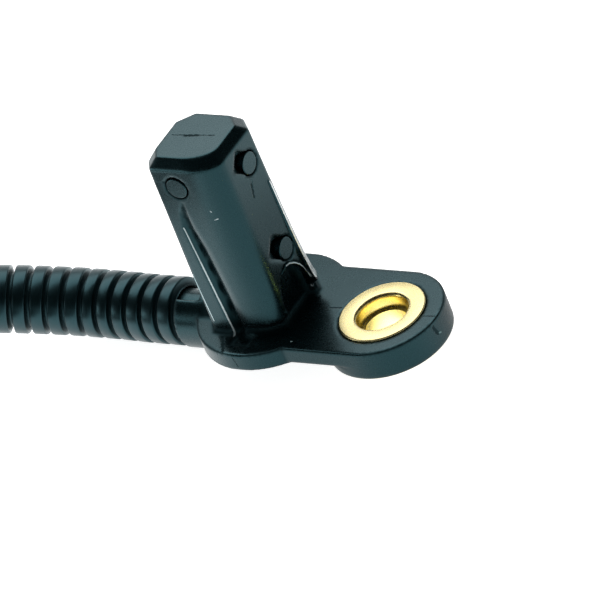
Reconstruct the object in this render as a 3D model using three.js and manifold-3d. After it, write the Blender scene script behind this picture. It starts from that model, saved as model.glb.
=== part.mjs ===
// Wheel speed sensor: moulded tower, bolt ear with a brass bush, and a lead in corrugated conduit.
// Millimetres, +Z up along the tower, +X from the tower to the bolt hole, floor at z = 0.
import * as THREE from 'three';
import * as BufferGeometryUtils from 'three/addons/utils/BufferGeometryUtils.js';
import Module from 'manifold-3d';

const wasm = await Module();
wasm.setup();

// General fits
const CLEARANCE = 0.3;
const PEG_FIT = 0.2;
const CUT_OVERRUN = 2;
const ROUND_SEGMENTS = 48;
const SEAT_SEGMENTS = 72;
const SMALL_SEGMENTS = 24;
const CORE_SEGMENTS = 12;
const ARCH_SEGMENTS = 12;
const CORNER_SEGMENTS = 6;
const RING_SEGMENTS = 60;

// Conduit and cable
const CONDUIT_DIAMETER = 10;
const CONDUIT_BORE = 7.4;
const JACKET_DIAMETER = 4.8;
const CORE_DIAMETER = 1.3;
const CORE_OFFSET = 1.15;
const OUTLET_AXIS_Z = CONDUIT_DIAMETER / 2;

// Flange: round seat, bolt ear and thicker pad round the bush
const OUTLET_DROP = 2.8;
const SEAT_Z = OUTLET_AXIS_Z + OUTLET_DROP;
const SEAT_RADIUS = 11.5;
const SEAT_THICKNESS = 2.9;
const EAR_THICKNESS = 2.6;
const PAD_RADIUS = 9.3;
const PAD_THICKNESS = 4.9;
const PAD_EDGE = 0.5;
const TOWER_TO_HOLE = 18.9;

// Brass bush
const BOLT_BORE = 6.4;
const BUSH_MOUTH_BORE = 7.6;
const BUSH_MOUTH_DEPTH = 3;
const BUSH_LIP = 0.5;
const BUSH_BARREL = 10;
const BUSH_FLANGE = 13;
const BUSH_FLANGE_THICKNESS = 0.9;
const BUSH_PROUD = 0.25;
const BUSH_RIM_CHAMFER = 0.2;
const BUSH_KNURLS = 36;
const KNURL_DEPTH = 0.25;

// Tower, sizes at its shoulder just under the bevelled tip
const TOWER_HEIGHT = 31.1;
const TOWER_LENGTH_X = 12.5;
const TOWER_WIDTH_Y = 12.3;
const TOWER_CENTRE = { x: -0.55, y: -0.55 };
const TOWER_DRAFT = 0.009;
const TIP_BEVEL = 1.2;
const TIP_BEVEL_HEIGHT = 1.5;
const CORNER_CHAMFER = 2.2;
const FRONT_CHAMFER_X = 1.2;
const FRONT_CHAMFER_Y = 1.8;
const FRONT_ROUND_X = 5.2;
const FRONT_ROUND_Y = 3;
const FRONT_ROUND_STEPS = 8;

// Front groove beside the flat rail, and the undercut at the foot of the bulge
const RAIL_WIDTH = 2.8;
const GROOVE_WIDTH = 2.7;
const GROOVE_FOOT_WIDTH = 3.8;
const GROOVE_FOOT_HEIGHT = 6;
const GROOVE_DEPTH = 1.8;
const GROOVE_DROP = 7.2;
const GROOVE_TAPER = 6;
const RAIL_FLARE = 0.9;
const RAIL_FLARE_HEIGHT = 3.5;
const UNDERCUT_HEIGHT = 1.8;
const UNDERCUT_DEPTH = 1.5;

// Locating pegs, as drops below the tip, and the notch beside each one on the side face
const PEG_DIAMETER = 3.3;
const PEG_SIDE_DROPS = [5.5, 21];
const PEG_SIDE_Y = 0.8;
const PEG_FRONT_DROP = 4.7;
const PEG_FRONT_X = -2.1;
const PEG_ROOT = 0.3;
const PEG_RECESS = 0.1;
const NOTCH_REACH = 3.7;
const NOTCH_DEPTH = 1.6;
const NOTCH_TILT_DEG = -40;

// Arch and fin on the side face
const ARCH_HEIGHT = 7.4;
const ARCH_HALF_WIDTH = 3.6;
const ARCH_DEPTH = 1.3;
const ARCH_CENTRE_Y = -0.4;
const ARCH_SILL = 0.6;
const FIN_PROUD = 0.35;
const FIN_WIDTH = 0.5;
const FIN_DROP = 10.3;
const FIN_BOTTOM = 1;
const FIN_ROOT = 1;

// Cable outlet: spigot inside the conduit, half cuff below it, bulge under the flange
const SPIGOT_DIAMETER = 6.8;
const SPIGOT_BORE = 5.4;
const SPIGOT_REACH = 13;
const CUFF_REACH = 3.5;
const CUFF_BORE = 8.2;
const BULGE_END_X = 3;
const OUTLET_ROOT = 1.5;
const TROUGH_ROOT = 0.5;

// Space inside the tower and the carrier that fills it
const HOLLOW_CENTRE_X = 0.2;
const HOLLOW_LENGTH_X = 7;
const HOLLOW_WIDTH_Y = 5.2;
const TIP_WALL = 1;
const HOLLOW_FLOOR_Z = 2.4;
const CHIP_SIZE = { x: 4.6, y: 3.6, z: 1 };
const MAGNET_DIAMETER = 3;
const MAGNET_HEIGHT = 3;
const STRIP_WIDTH = 0.7;
const STRIP_THICKNESS = 0.35;
const STRIP_OFFSET = 1.35;
const STRIP_FOOT = 1.1;
const CAPACITOR_SIZE = { x: 0.9, y: 1.4, z: 3 };
const CAPACITOR_HEIGHT = 14;
const CRIMP_LENGTH = 2.4;
const CRIMP_BORE = 1.7;
const CRIMP_WALL = 0.3;
const CORE_STRIP_LENGTH = 3;

// Lead: route of the conduit, chosen by hand, measured from the tower axis
const LEAD_ROUTE = [
  [-15.3, 0, 5], [-18.5, 0, 5], [-22, 0, 5], [-26, -0.1, 5.2], [-30, -0.5, 5.6], [-34, -1.4, 6.4],
  [-38, -2.6, 7.3], [-42, -4.1, 8.4], [-46, -5.9, 9.6], [-50, -7.8, 10.7],
  [-54.5, -10, 12], [-59, -12.1, 13.1], [-62.5, -13.8, 13.9], [-65.7, -15.3, 14.6],
];
const TAIL_ROUTE = [
  [-43.5, -123.8, 6.7], [-40, -123.8, 7.1], [-36, -123.8, 7.4], [-32, -123.8, 7.5],
  [-27, -123.8, 7.5],
];
const TUBE_SIDES = 12;

// Coil of the rest of the lead, two turns high
const COIL_CENTRE = { x: -75.7, y: -73.8 };
const COIL_RADIUS = 50;
const COIL_LAYERS = 2;
const TIE_THICKNESS = 0.8;
const TIE_WIDTH = 5;
const TIE_ANGLES = [140, 240];
const COIL_FLOOR_GAP = TIE_THICKNESS + CLEARANCE;
const CAP_STEPS = 8;

// Plug on the far end
const PLUG_START_X = -34;
const PLUG_Y = -123.8;
const PLUG_WIDTH = 20;
const PLUG_HEIGHT = 15;
const PLUG_LENGTH = 28;
const PLUG_CORNER = 2.2;
const PLUG_AXIS_Z = PLUG_HEIGHT / 2;
const COVER_LENGTH = 12;
const COVER_DIAMETER = 14.4;
const COVER_ENTRY = 7.2;
const COVER_COLLAR = 4;
const COVER_STEP = 1;
const SOCKET_WIDTH = 16;
const SOCKET_HEIGHT = 10.6;
const SOCKET_CORNER = 1.6;
const SOCKET_DEPTH = 15;
const PIN_PITCH = 5;
const PIN_SIZE = 1.5;
const PIN_REACH = 10;
const PIN_TAIL = 5.5;
const SEAL_THICKNESS = 1.1;
const SEAL_LENGTH = 2.4;
const WIRE_SEAL_DIAMETER = 3.6;
const WIRE_SEAL_LENGTH = 5;
const WIRE_SEAL_BORE = 1.7;
const LOCK_SIZE = { x: 1.8, y: 12, z: 4.6 };
const LATCH_SIZE = { x: 9, y: 6, z: 2.2 };
const LATCH_RAMP = 3.2;
const LATCH_ROOT = 0.2;
const LATCH_SETBACK = 6;

// What follows from the sizes above
const TIP_Z = SEAT_Z + TOWER_HEIGHT;
const SIDE_X = TOWER_CENTRE.x + TOWER_LENGTH_X / 2;
const REAR_X = TOWER_CENTRE.x - TOWER_LENGTH_X / 2;
const FRONT_Y = TOWER_CENTRE.y - TOWER_WIDTH_Y / 2;
const BACK_Y = TOWER_CENTRE.y + TOWER_WIDTH_Y / 2;
const SPIGOT_END_X = -SEAT_RADIUS - SPIGOT_REACH;
const EAR_END_X = TOWER_TO_HOLE + PAD_RADIUS;
const FRAME_SHIFT = -(SPIGOT_END_X + EAR_END_X) / 2;
const HOLLOW_TOP_Z = TIP_Z - TIP_WALL;
const CHIP_BOTTOM_Z = HOLLOW_TOP_Z - CLEARANCE - CHIP_SIZE.z;
const CARRIER_TOP_Z = CHIP_BOTTOM_Z - CLEARANCE;
const CARRIER_BOTTOM_Z = HOLLOW_FLOOR_Z + CLEARANCE;
const CARRIER_FACE_X = HOLLOW_CENTRE_X - HOLLOW_LENGTH_X / 2 + CLEARANCE;
const STRIP_SLOT_DEPTH = STRIP_THICKNESS + CLEARANCE;
const STRIP_X = CARRIER_FACE_X + STRIP_THICKNESS / 2;

// Finishes: colour, roughness and metalness of each material
const FINISH = {
  overmould: { color: 0x22302f, roughness: 0.42, metalness: 0 },
  carrier: { color: 0x2b3a3b, roughness: 0.5, metalness: 0 },
  brass: { color: 0xd9b45a, roughness: 0.25, metalness: 1 },
  ceramic: { color: 0x1d1f22, roughness: 0.6, metalness: 0 },
  magnet: { color: 0x6d6f72, roughness: 0.35, metalness: 1 },
  tinned: { color: 0xb9bcbd, roughness: 0.3, metalness: 1 },
  conduit: { color: 0x0c1013, roughness: 0.3, metalness: 0 },
  jacket: { color: 0x151718, roughness: 0.6, metalness: 0 },
  coreBlue: { color: 0x24508c, roughness: 0.55, metalness: 0 },
  coreBrown: { color: 0x5a3a25, roughness: 0.55, metalness: 0 },
  plug: { color: 0x191c1e, roughness: 0.5, metalness: 0 },
  seal: { color: 0xa8501f, roughness: 0.7, metalness: 0 },
  lock: { color: 0x7a2f8a, roughness: 0.5, metalness: 0 },
  tie: { color: 0x101214, roughness: 0.4, metalness: 0 },
};

// Keeps a geometry's positions only, with shared corners merged and its faces turned outwards.
function cleaned(geometry) {
  const bare = geometry.clone();
  for (const name of Object.keys(bare.attributes)) {
    if (name !== 'position') {
      bare.deleteAttribute(name);
    }
  }
  const merged = BufferGeometryUtils.mergeVertices(bare, 1e-5);
  if (volumeOf(merged) < 0) {
    const index = merged.index.array;
    for (let i = 0; i < index.length; i += 3) {
      const first = index[i];
      index[i] = index[i + 1];
      index[i + 1] = first;
    }
  }
  return merged;
}

// Signed volume of a closed triangle mesh.
function volumeOf(geometry) {
  const position = geometry.attributes.position;
  const index = geometry.index.array;
  const a = new THREE.Vector3();
  const b = new THREE.Vector3();
  const c = new THREE.Vector3();
  let total = 0;
  for (let i = 0; i < index.length; i += 3) {
    a.fromBufferAttribute(position, index[i]);
    b.fromBufferAttribute(position, index[i + 1]);
    c.fromBufferAttribute(position, index[i + 2]);
    total += a.dot(b.cross(c)) / 6;
  }
  return total;
}

// Turns a closed geometry into a solid that can be cut and joined.
function solid(geometry) {
  const mesh = cleaned(geometry);
  return new wasm.Manifold(new wasm.Mesh({
    numProp: 3,
    vertProperties: new Float32Array(mesh.attributes.position.array),
    triVerts: new Uint32Array(mesh.index.array),
  }));
}

// Gives a cut solid back as a geometry.
function geometryOf(body) {
  const mesh = body.getMesh();
  const geometry = new THREE.BufferGeometry();
  geometry.setAttribute('position', new THREE.BufferAttribute(new Float32Array(mesh.vertProperties), 3));
  geometry.setIndex(new THREE.BufferAttribute(new Uint32Array(mesh.triVerts), 1));
  geometry.computeVertexNormals();
  return geometry;
}

function joined(solids) {
  return solids.reduce((whole, next) => whole.add(next));
}

function cut(body, tools) {
  return tools.reduce((left, tool) => left.subtract(tool), body);
}

// A block between two corners.
function block(x0, x1, y0, y1, z0, z1) {
  const geometry = new THREE.BoxGeometry(x1 - x0, y1 - y0, z1 - z0);
  geometry.translate((x0 + x1) / 2, (y0 + y1) / 2, (z0 + z1) / 2);
  return solid(geometry);
}

// A block of a given size round a centre.
function blockAt(centre, size) {
  const geometry = new THREE.BoxGeometry(size.x, size.y, size.z);
  geometry.translate(centre.x, centre.y, centre.z);
  return solid(geometry);
}

// A revolved profile of [radius, height] points, closed on the axis or on itself, round a vertical axis.
function revolved(profile, segments = ROUND_SEGMENTS) {
  const points = profile.map(([radius, height]) => new THREE.Vector2(radius, height));
  const geometry = new THREE.LatheGeometry(points, segments);
  geometry.rotateX(Math.PI / 2);
  return geometry;
}

// A round bar between two heights.
function upright(radius, z0, z1, x = 0, y = 0, segments = ROUND_SEGMENTS) {
  const geometry = revolved([[0, z0], [radius, z0], [radius, z1], [0, z1]], segments);
  geometry.translate(x, y, 0);
  return solid(geometry);
}

// A round bar along X.
function alongX(radius, x0, x1, y = 0, z = 0, segments = ROUND_SEGMENTS) {
  const geometry = revolved([[0, x0], [radius, x0], [radius, x1], [0, x1]], segments);
  geometry.rotateY(Math.PI / 2);
  geometry.translate(0, y, z);
  return solid(geometry);
}

// A round bar along Y.
function alongY(radius, y0, y1, x, z, segments = SMALL_SEGMENTS) {
  const geometry = revolved([[0, -y1], [radius, -y1], [radius, -y0], [0, -y0]], segments);
  geometry.rotateX(Math.PI / 2);
  geometry.translate(x, 0, z);
  return solid(geometry);
}

// A rectangle with round corners, centred on the origin.
function roundedRectangle(width, height, radius) {
  const shape = new THREE.Shape();
  const w = width / 2;
  const h = height / 2;
  shape.moveTo(-w + radius, -h);
  shape.lineTo(w - radius, -h);
  shape.absarc(w - radius, -h + radius, radius, -Math.PI / 2, 0, false);
  shape.lineTo(w, h - radius);
  shape.absarc(w - radius, h - radius, radius, 0, Math.PI / 2, false);
  shape.lineTo(-w + radius, h);
  shape.absarc(-w + radius, h - radius, radius, Math.PI / 2, Math.PI, false);
  shape.lineTo(-w, -h + radius);
  shape.absarc(-w + radius, -h + radius, radius, Math.PI, 1.5 * Math.PI, false);
  return shape;
}

// A profile in the YZ plane, pulled along X between two places.
function pulledAlongX(shape, x0, x1, curveSegments = CORNER_SEGMENTS) {
  const geometry = new THREE.ExtrudeGeometry(shape, { depth: x1 - x0, bevelEnabled: false, curveSegments });
  geometry.rotateX(Math.PI / 2);
  geometry.rotateZ(Math.PI / 2);
  geometry.translate(x0, 0, 0);
  return solid(geometry);
}

// A skin through level outlines with the same number of points, closed at both ends.
function lofted(levels) {
  const count = levels[0].outline.length;
  const positions = [];
  const index = [];
  for (const level of levels) {
    for (const point of level.outline) {
      positions.push(point.x, point.y, level.z);
    }
  }
  for (let k = 0; k + 1 < levels.length; k += 1) {
    for (let i = 0; i < count; i += 1) {
      const a = k * count + i;
      const b = k * count + ((i + 1) % count);
      index.push(a, b, a + count);
      index.push(b, b + count, a + count);
    }
  }
  const top = (levels.length - 1) * count;
  const bottomFaces = THREE.ShapeUtils.triangulateShape(levels[0].outline, []);
  const topFaces = THREE.ShapeUtils.triangulateShape(levels[levels.length - 1].outline, []);
  for (const [a, b, c] of bottomFaces) {
    index.push(c, b, a);
  }
  for (const [a, b, c] of topFaces) {
    index.push(top + a, top + b, top + c);
  }
  const geometry = new THREE.BufferGeometry();
  geometry.setAttribute('position', new THREE.BufferAttribute(new Float32Array(positions), 3));
  geometry.setIndex(index);
  return solid(geometry);
}

// The tower's outline at one height: three chamfered corners and one broad round one at the front.
function towerOutline(inset) {
  const left = REAR_X + inset;
  const right = SIDE_X - inset;
  const front = FRONT_Y + inset;
  const back = BACK_Y - inset;
  const outline = [
    new THREE.Vector2(left, front + FRONT_CHAMFER_Y),
    new THREE.Vector2(left + FRONT_CHAMFER_X, front),
  ];
  for (let i = 0; i <= FRONT_ROUND_STEPS; i += 1) {
    const turn = (i / FRONT_ROUND_STEPS) * (Math.PI / 2);
    outline.push(new THREE.Vector2(
      right - FRONT_ROUND_X + FRONT_ROUND_X * Math.sin(turn),
      front + FRONT_ROUND_Y - FRONT_ROUND_Y * Math.cos(turn),
    ));
  }
  outline.push(new THREE.Vector2(right, back - CORNER_CHAMFER));
  outline.push(new THREE.Vector2(right - CORNER_CHAMFER, back));
  outline.push(new THREE.Vector2(left + CORNER_CHAMFER, back));
  outline.push(new THREE.Vector2(left, back - CORNER_CHAMFER));
  return outline;
}

// The tower's inset at a height above the seat: wider at the foot, bevelled at the tip.
function towerInset(height) {
  const shoulder = TOWER_HEIGHT - TIP_BEVEL_HEIGHT;
  const draft = -TOWER_DRAFT * (shoulder - Math.min(height, shoulder));
  const bevel = Math.max(0, height - shoulder) / TIP_BEVEL_HEIGHT;
  return draft + bevel * TIP_BEVEL;
}

function towerBlank() {
  const heights = [-SEAT_THICKNESS / 2, TOWER_HEIGHT - TIP_BEVEL_HEIGHT, TOWER_HEIGHT];
  return lofted(heights.map((height) => ({ z: SEAT_Z + height, outline: towerOutline(towerInset(height)) })));
}

// The front groove: pointed at its top, wider at its foot, where the rail flares.
function grooveCutter() {
  const left = REAR_X + RAIL_WIDTH;
  const top = TIP_Z - GROOVE_DROP;
  const shape = new THREE.Shape();
  shape.moveTo(left + RAIL_FLARE, SEAT_Z);
  shape.lineTo(left + GROOVE_FOOT_WIDTH, SEAT_Z);
  shape.lineTo(left + GROOVE_FOOT_WIDTH, SEAT_Z + GROOVE_FOOT_HEIGHT);
  shape.lineTo(left + GROOVE_WIDTH, top - GROOVE_TAPER);
  shape.lineTo(left + GROOVE_WIDTH / 2, top);
  shape.lineTo(left, top - GROOVE_TAPER);
  shape.lineTo(left, SEAT_Z + RAIL_FLARE_HEIGHT);
  const depth = GROOVE_DEPTH + CUT_OVERRUN;
  const geometry = new THREE.ExtrudeGeometry(shape, { depth, bevelEnabled: false });
  geometry.rotateX(Math.PI / 2);
  geometry.translate(0, FRONT_Y + GROOVE_DEPTH, 0);
  return solid(geometry);
}

// The undercut between the seat and the front bulge.
function undercut() {
  return block(
    REAR_X + RAIL_WIDTH + GROOVE_WIDTH, SIDE_X + CUT_OVERRUN,
    FRONT_Y - CUT_OVERRUN, FRONT_Y + UNDERCUT_DEPTH, SEAT_Z, SEAT_Z + UNDERCUT_HEIGHT,
  );
}

// One slanting notch beside a locating peg on the side face.
function pegNotch(drop) {
  const half = PEG_DIAMETER / 2 + PEG_FIT;
  const geometry = new THREE.BoxGeometry(NOTCH_DEPTH + CUT_OVERRUN, NOTCH_REACH, 2 * half);
  geometry.translate((CUT_OVERRUN - NOTCH_DEPTH) / 2, -NOTCH_REACH / 2, 0);
  geometry.rotateX(THREE.MathUtils.degToRad(NOTCH_TILT_DEG));
  geometry.translate(SIDE_X, PEG_SIDE_Y, TIP_Z - drop);
  return solid(geometry);
}

// The arched recess at the foot of the side face.
function archCutter() {
  const shape = new THREE.Shape();
  const spring = SEAT_Z + ARCH_HEIGHT - ARCH_HALF_WIDTH;
  shape.moveTo(ARCH_CENTRE_Y - ARCH_HALF_WIDTH, SEAT_Z + ARCH_SILL);
  shape.lineTo(ARCH_CENTRE_Y + ARCH_HALF_WIDTH, SEAT_Z + ARCH_SILL);
  shape.lineTo(ARCH_CENTRE_Y + ARCH_HALF_WIDTH, spring);
  shape.absarc(ARCH_CENTRE_Y, spring, ARCH_HALF_WIDTH, 0, Math.PI, false);
  return pulledAlongX(shape, SIDE_X - ARCH_DEPTH, SIDE_X + CUT_OVERRUN, ARCH_SEGMENTS);
}

// The thin fin left by the mould's parting line.
function partingFin() {
  const y = BACK_Y - CORNER_CHAMFER;
  const top = TIP_Z - FIN_DROP;
  const bottom = SEAT_Z + FIN_BOTTOM;
  const proud = SIDE_X + FIN_PROUD;
  const outlineAt = (z) => {
    const x = proud + TOWER_DRAFT * (TIP_Z - z);
    return [
      new THREE.Vector2(SIDE_X - FIN_ROOT, y - FIN_WIDTH),
      new THREE.Vector2(x, y - FIN_WIDTH),
      new THREE.Vector2(x, y),
      new THREE.Vector2(SIDE_X - FIN_ROOT, y),
    ];
  };
  return lofted([{ z: bottom, outline: outlineAt(bottom) }, { z: top, outline: outlineAt(top) }]);
}

// The holes in which the carrier's locating pegs show.
function pegHoles() {
  const radius = PEG_DIAMETER / 2 + PEG_FIT;
  const side = PEG_SIDE_DROPS.map((drop) => alongX(
    radius, HOLLOW_CENTRE_X, SIDE_X + CUT_OVERRUN, PEG_SIDE_Y, TIP_Z - drop, SMALL_SEGMENTS,
  ));
  const front = alongY(radius, FRONT_Y - CUT_OVERRUN, 0, PEG_FRONT_X, TIP_Z - PEG_FRONT_DROP);
  return [...side, front];
}

// The space for the carrier, open to the outside through the cable bore.
function towerHollow() {
  const halfX = HOLLOW_LENGTH_X / 2;
  const halfY = HOLLOW_WIDTH_Y / 2;
  return block(
    HOLLOW_CENTRE_X - halfX, HOLLOW_CENTRE_X + halfX, -halfY, halfY, HOLLOW_FLOOR_Z, HOLLOW_TOP_Z,
  );
}

// The round seat under the tower.
function seat() {
  return upright(SEAT_RADIUS, SEAT_Z - SEAT_THICKNESS, SEAT_Z, 0, 0, SEAT_SEGMENTS);
}

// The ear from the seat to the bolt hole, with the thicker pad under the bush.
function ear() {
  const plate = block(0, TOWER_TO_HOLE, -PAD_RADIUS, PAD_RADIUS, SEAT_Z - EAR_THICKNESS, SEAT_Z);
  const bottom = SEAT_Z - PAD_THICKNESS;
  const pad = revolved([
    [0, bottom], [PAD_RADIUS - PAD_EDGE, bottom], [PAD_RADIUS, bottom + PAD_EDGE],
    [PAD_RADIUS, SEAT_Z], [0, SEAT_Z],
  ], SEAT_SEGMENTS);
  pad.translate(TOWER_TO_HOLE, 0, 0);
  return plate.add(solid(pad));
}

// The seat cut in the ear for the bush and its flange.
function bushSeat() {
  const barrel = upright(
    BUSH_BARREL / 2 + CLEARANCE, SEAT_Z - PAD_THICKNESS - CUT_OVERRUN, SEAT_Z + CUT_OVERRUN, TOWER_TO_HOLE,
  );
  const rim = upright(
    BUSH_FLANGE / 2 + CLEARANCE, SEAT_Z + BUSH_PROUD - BUSH_FLANGE_THICKNESS - CLEARANCE,
    SEAT_Z + CUT_OVERRUN, TOWER_TO_HOLE,
  );
  return barrel.add(rim);
}

// The bulge under the flange, the half cuff and the spigot of the cable outlet.
function cableOutlet() {
  const radius = CONDUIT_DIAMETER / 2;
  const cuffEnd = -SEAT_RADIUS - CUFF_REACH;
  const nose = new THREE.SphereGeometry(radius, SMALL_SEGMENTS, SMALL_SEGMENTS / 2);
  nose.translate(BULGE_END_X, 0, OUTLET_AXIS_Z);
  const rootX = OUTLET_ROOT - SEAT_RADIUS;
  const troughEnd = TROUGH_ROOT - SEAT_RADIUS;
  const bulge = alongX(radius, rootX, BULGE_END_X, 0, OUTLET_AXIS_Z);
  const cuff = alongX(radius, cuffEnd, rootX, 0, OUTLET_AXIS_Z);
  const trough = alongX(CUFF_BORE / 2, cuffEnd - CUT_OVERRUN, troughEnd, 0, OUTLET_AXIS_Z);
  const openTop = block(
    cuffEnd - CUT_OVERRUN, troughEnd, -CONDUIT_DIAMETER, CONDUIT_DIAMETER,
    OUTLET_AXIS_Z, SEAT_Z + CUT_OVERRUN,
  );
  const spigot = alongX(SPIGOT_DIAMETER / 2, SPIGOT_END_X, rootX, 0, OUTLET_AXIS_Z, SMALL_SEGMENTS);
  return joined([bulge, solid(nose), cut(cuff, [trough, openTop]), spigot]);
}

function sensorBody() {
  const outside = joined([seat(), ear(), towerBlank(), partingFin(), cableOutlet()]);
  const cableBore = alongX(
    SPIGOT_BORE / 2, SPIGOT_END_X - CUT_OVERRUN, HOLLOW_CENTRE_X, 0, OUTLET_AXIS_Z, SMALL_SEGMENTS,
  );
  const notches = PEG_SIDE_DROPS.map((drop) => pegNotch(drop));
  return cut(outside, [
    grooveCutter(), undercut(), ...notches, archCutter(), ...pegHoles(), towerHollow(), cableBore,
    bushSeat(),
  ]);
}

// The brass bush: flange, knurled barrel, wide mouth with a round lip, and the bolt's bore.
function mountingBush() {
  const top = SEAT_Z + BUSH_PROUD;
  const bottom = SEAT_Z - PAD_THICKNESS;
  const barrel = BUSH_BARREL / 2;
  const bore = BOLT_BORE / 2;
  const mouth = BUSH_MOUTH_BORE / 2;
  const ledge = top - BUSH_MOUTH_DEPTH;
  const profile = [
    [bore, bottom], [barrel, bottom], [barrel, top - BUSH_FLANGE_THICKNESS],
    [BUSH_FLANGE / 2, top - BUSH_FLANGE_THICKNESS], [BUSH_FLANGE / 2, top - BUSH_RIM_CHAMFER],
    [BUSH_FLANGE / 2 - BUSH_RIM_CHAMFER, top], [mouth + BUSH_LIP, top],
  ];
  for (let i = 1; i <= 3; i += 1) {
    const turn = (i / 3) * (Math.PI / 2);
    profile.push([mouth + BUSH_LIP * (1 - Math.sin(turn)), top - BUSH_LIP * (1 - Math.cos(turn))]);
  }
  profile.push([mouth, ledge], [bore, ledge], [bore, bottom]);
  const blank = solid(revolved(profile));
  const grooves = [];
  for (let i = 0; i < BUSH_KNURLS; i += 1) {
    const turn = (i / BUSH_KNURLS) * 2 * Math.PI;
    const tool = new THREE.CylinderGeometry(KNURL_DEPTH, KNURL_DEPTH, PAD_THICKNESS / 2, 4);
    tool.rotateX(Math.PI / 2);
    tool.translate(barrel * Math.cos(turn), barrel * Math.sin(turn), SEAT_Z - PAD_THICKNESS / 2);
    grooves.push(solid(tool));
  }
  return cut(blank, grooves).translate(TOWER_TO_HOLE, 0, 0);
}

// The carrier: a spine with the magnet's pocket, the strips' slots and the locating pegs.
function innerCarrier() {
  const x0 = CARRIER_FACE_X;
  const x1 = HOLLOW_CENTRE_X + HOLLOW_LENGTH_X / 2 - CLEARANCE;
  const y = HOLLOW_WIDTH_Y / 2 - CLEARANCE;
  const spine = block(x0, x1, -y, y, CARRIER_BOTTOM_Z, CARRIER_TOP_Z);
  const pegRadius = PEG_DIAMETER / 2;
  const sidePegs = PEG_SIDE_DROPS.map((drop) => alongX(
    pegRadius, x1 - PEG_ROOT, SIDE_X - towerInset(TOWER_HEIGHT - drop) - PEG_RECESS,
    PEG_SIDE_Y, TIP_Z - drop, SMALL_SEGMENTS,
  ));
  const frontFace = FRONT_Y + towerInset(TOWER_HEIGHT - PEG_FRONT_DROP);
  const frontPeg = alongY(
    pegRadius, frontFace + PEG_RECESS, PEG_ROOT - y, PEG_FRONT_X, TIP_Z - PEG_FRONT_DROP,
  );
  const magnetPocket = upright(
    MAGNET_DIAMETER / 2 + CLEARANCE, CARRIER_TOP_Z - MAGNET_HEIGHT - 2 * CLEARANCE,
    CARRIER_TOP_Z + CUT_OVERRUN, HOLLOW_CENTRE_X, 0, SMALL_SEGMENTS,
  );
  const slots = [-1, 1].map((side) => block(
    x0 - CUT_OVERRUN, x0 + STRIP_SLOT_DEPTH,
    side * STRIP_OFFSET - STRIP_WIDTH / 2 - CLEARANCE, side * STRIP_OFFSET + STRIP_WIDTH / 2 + CLEARANCE,
    CARRIER_BOTTOM_Z - CUT_OVERRUN, CARRIER_TOP_Z + CUT_OVERRUN,
  ));
  const capacitorPocket = blockAt(
    { x: x0, y: 0, z: SEAT_Z + CAPACITOR_HEIGHT },
    {
      x: 2 * (CAPACITOR_SIZE.x + CLEARANCE),
      y: CAPACITOR_SIZE.y + 2 * CLEARANCE,
      z: CAPACITOR_SIZE.z + 2 * CLEARANCE,
    },
  );
  return cut(joined([spine, ...sidePegs, frontPeg]), [magnetPocket, ...slots, capacitorPocket]);
}

function sensorChip() {
  return blockAt({ x: HOLLOW_CENTRE_X + CLEARANCE, y: 0, z: CHIP_BOTTOM_Z + CHIP_SIZE.z / 2 }, CHIP_SIZE);
}

function biasMagnet() {
  const top = CARRIER_TOP_Z - CLEARANCE;
  return upright(MAGNET_DIAMETER / 2, top - MAGNET_HEIGHT, top, HOLLOW_CENTRE_X, 0, SMALL_SEGMENTS);
}

function capacitor() {
  return blockAt(
    { x: CARRIER_FACE_X + CAPACITOR_SIZE.x / 2, y: 0, z: SEAT_Z + CAPACITOR_HEIGHT }, CAPACITOR_SIZE,
  );
}

// One lead strip: an upright blade with a foot that reaches into its crimp.
function leadStrip(side) {
  const y = side * STRIP_OFFSET;
  const top = CHIP_BOTTOM_Z + CHIP_SIZE.z;
  const blade = block(
    STRIP_X - STRIP_THICKNESS / 2, STRIP_X + STRIP_THICKNESS / 2,
    y - STRIP_WIDTH / 2, y + STRIP_WIDTH / 2, OUTLET_AXIS_Z - STRIP_THICKNESS / 2, top,
  );
  const foot = block(
    STRIP_X - STRIP_THICKNESS / 2 - STRIP_FOOT, STRIP_X,
    y - STRIP_WIDTH / 2, y + STRIP_WIDTH / 2,
    OUTLET_AXIS_Z - STRIP_THICKNESS / 2, OUTLET_AXIS_Z + STRIP_THICKNESS / 2,
  );
  return blade.add(foot);
}

const CRIMP_END_X = STRIP_X - STRIP_THICKNESS / 2 - CLEARANCE;

// One crimp barrel round the strip's foot and the end of its core.
function crimp(side) {
  const y = side * STRIP_OFFSET;
  const outer = alongX(
    CRIMP_BORE / 2 + CRIMP_WALL, CRIMP_END_X - CRIMP_LENGTH, CRIMP_END_X, y, OUTLET_AXIS_Z, CORE_SEGMENTS,
  );
  const inner = alongX(
    CRIMP_BORE / 2, CRIMP_END_X - CRIMP_LENGTH - CUT_OVERRUN, CRIMP_END_X + CUT_OVERRUN,
    y, OUTLET_AXIS_Z, CORE_SEGMENTS,
  );
  return outer.subtract(inner);
}

const JACKET_START_X = SPIGOT_END_X + CLEARANCE;
const JACKET_END_X = CRIMP_END_X - CRIMP_LENGTH - CORE_STRIP_LENGTH;
const CORE_END_X = CRIMP_END_X - CRIMP_LENGTH - CLEARANCE;

// One insulated core from the cable's end to its crimp.
function core(side) {
  const y = side * CORE_OFFSET;
  return alongX(CORE_DIAMETER / 2, JACKET_START_X, CORE_END_X, y, OUTLET_AXIS_Z, CORE_SEGMENTS);
}

function cableJacket() {
  const jacket = alongX(
    JACKET_DIAMETER / 2, JACKET_START_X, JACKET_END_X, 0, OUTLET_AXIS_Z, SMALL_SEGMENTS,
  );
  const holes = [-1, 1].map((side) => alongX(
    CORE_DIAMETER / 2 + CLEARANCE, JACKET_START_X - CUT_OVERRUN, JACKET_END_X + CUT_OVERRUN,
    side * CORE_OFFSET, OUTLET_AXIS_Z, CORE_SEGMENTS,
  ));
  return cut(jacket, holes);
}

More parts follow.
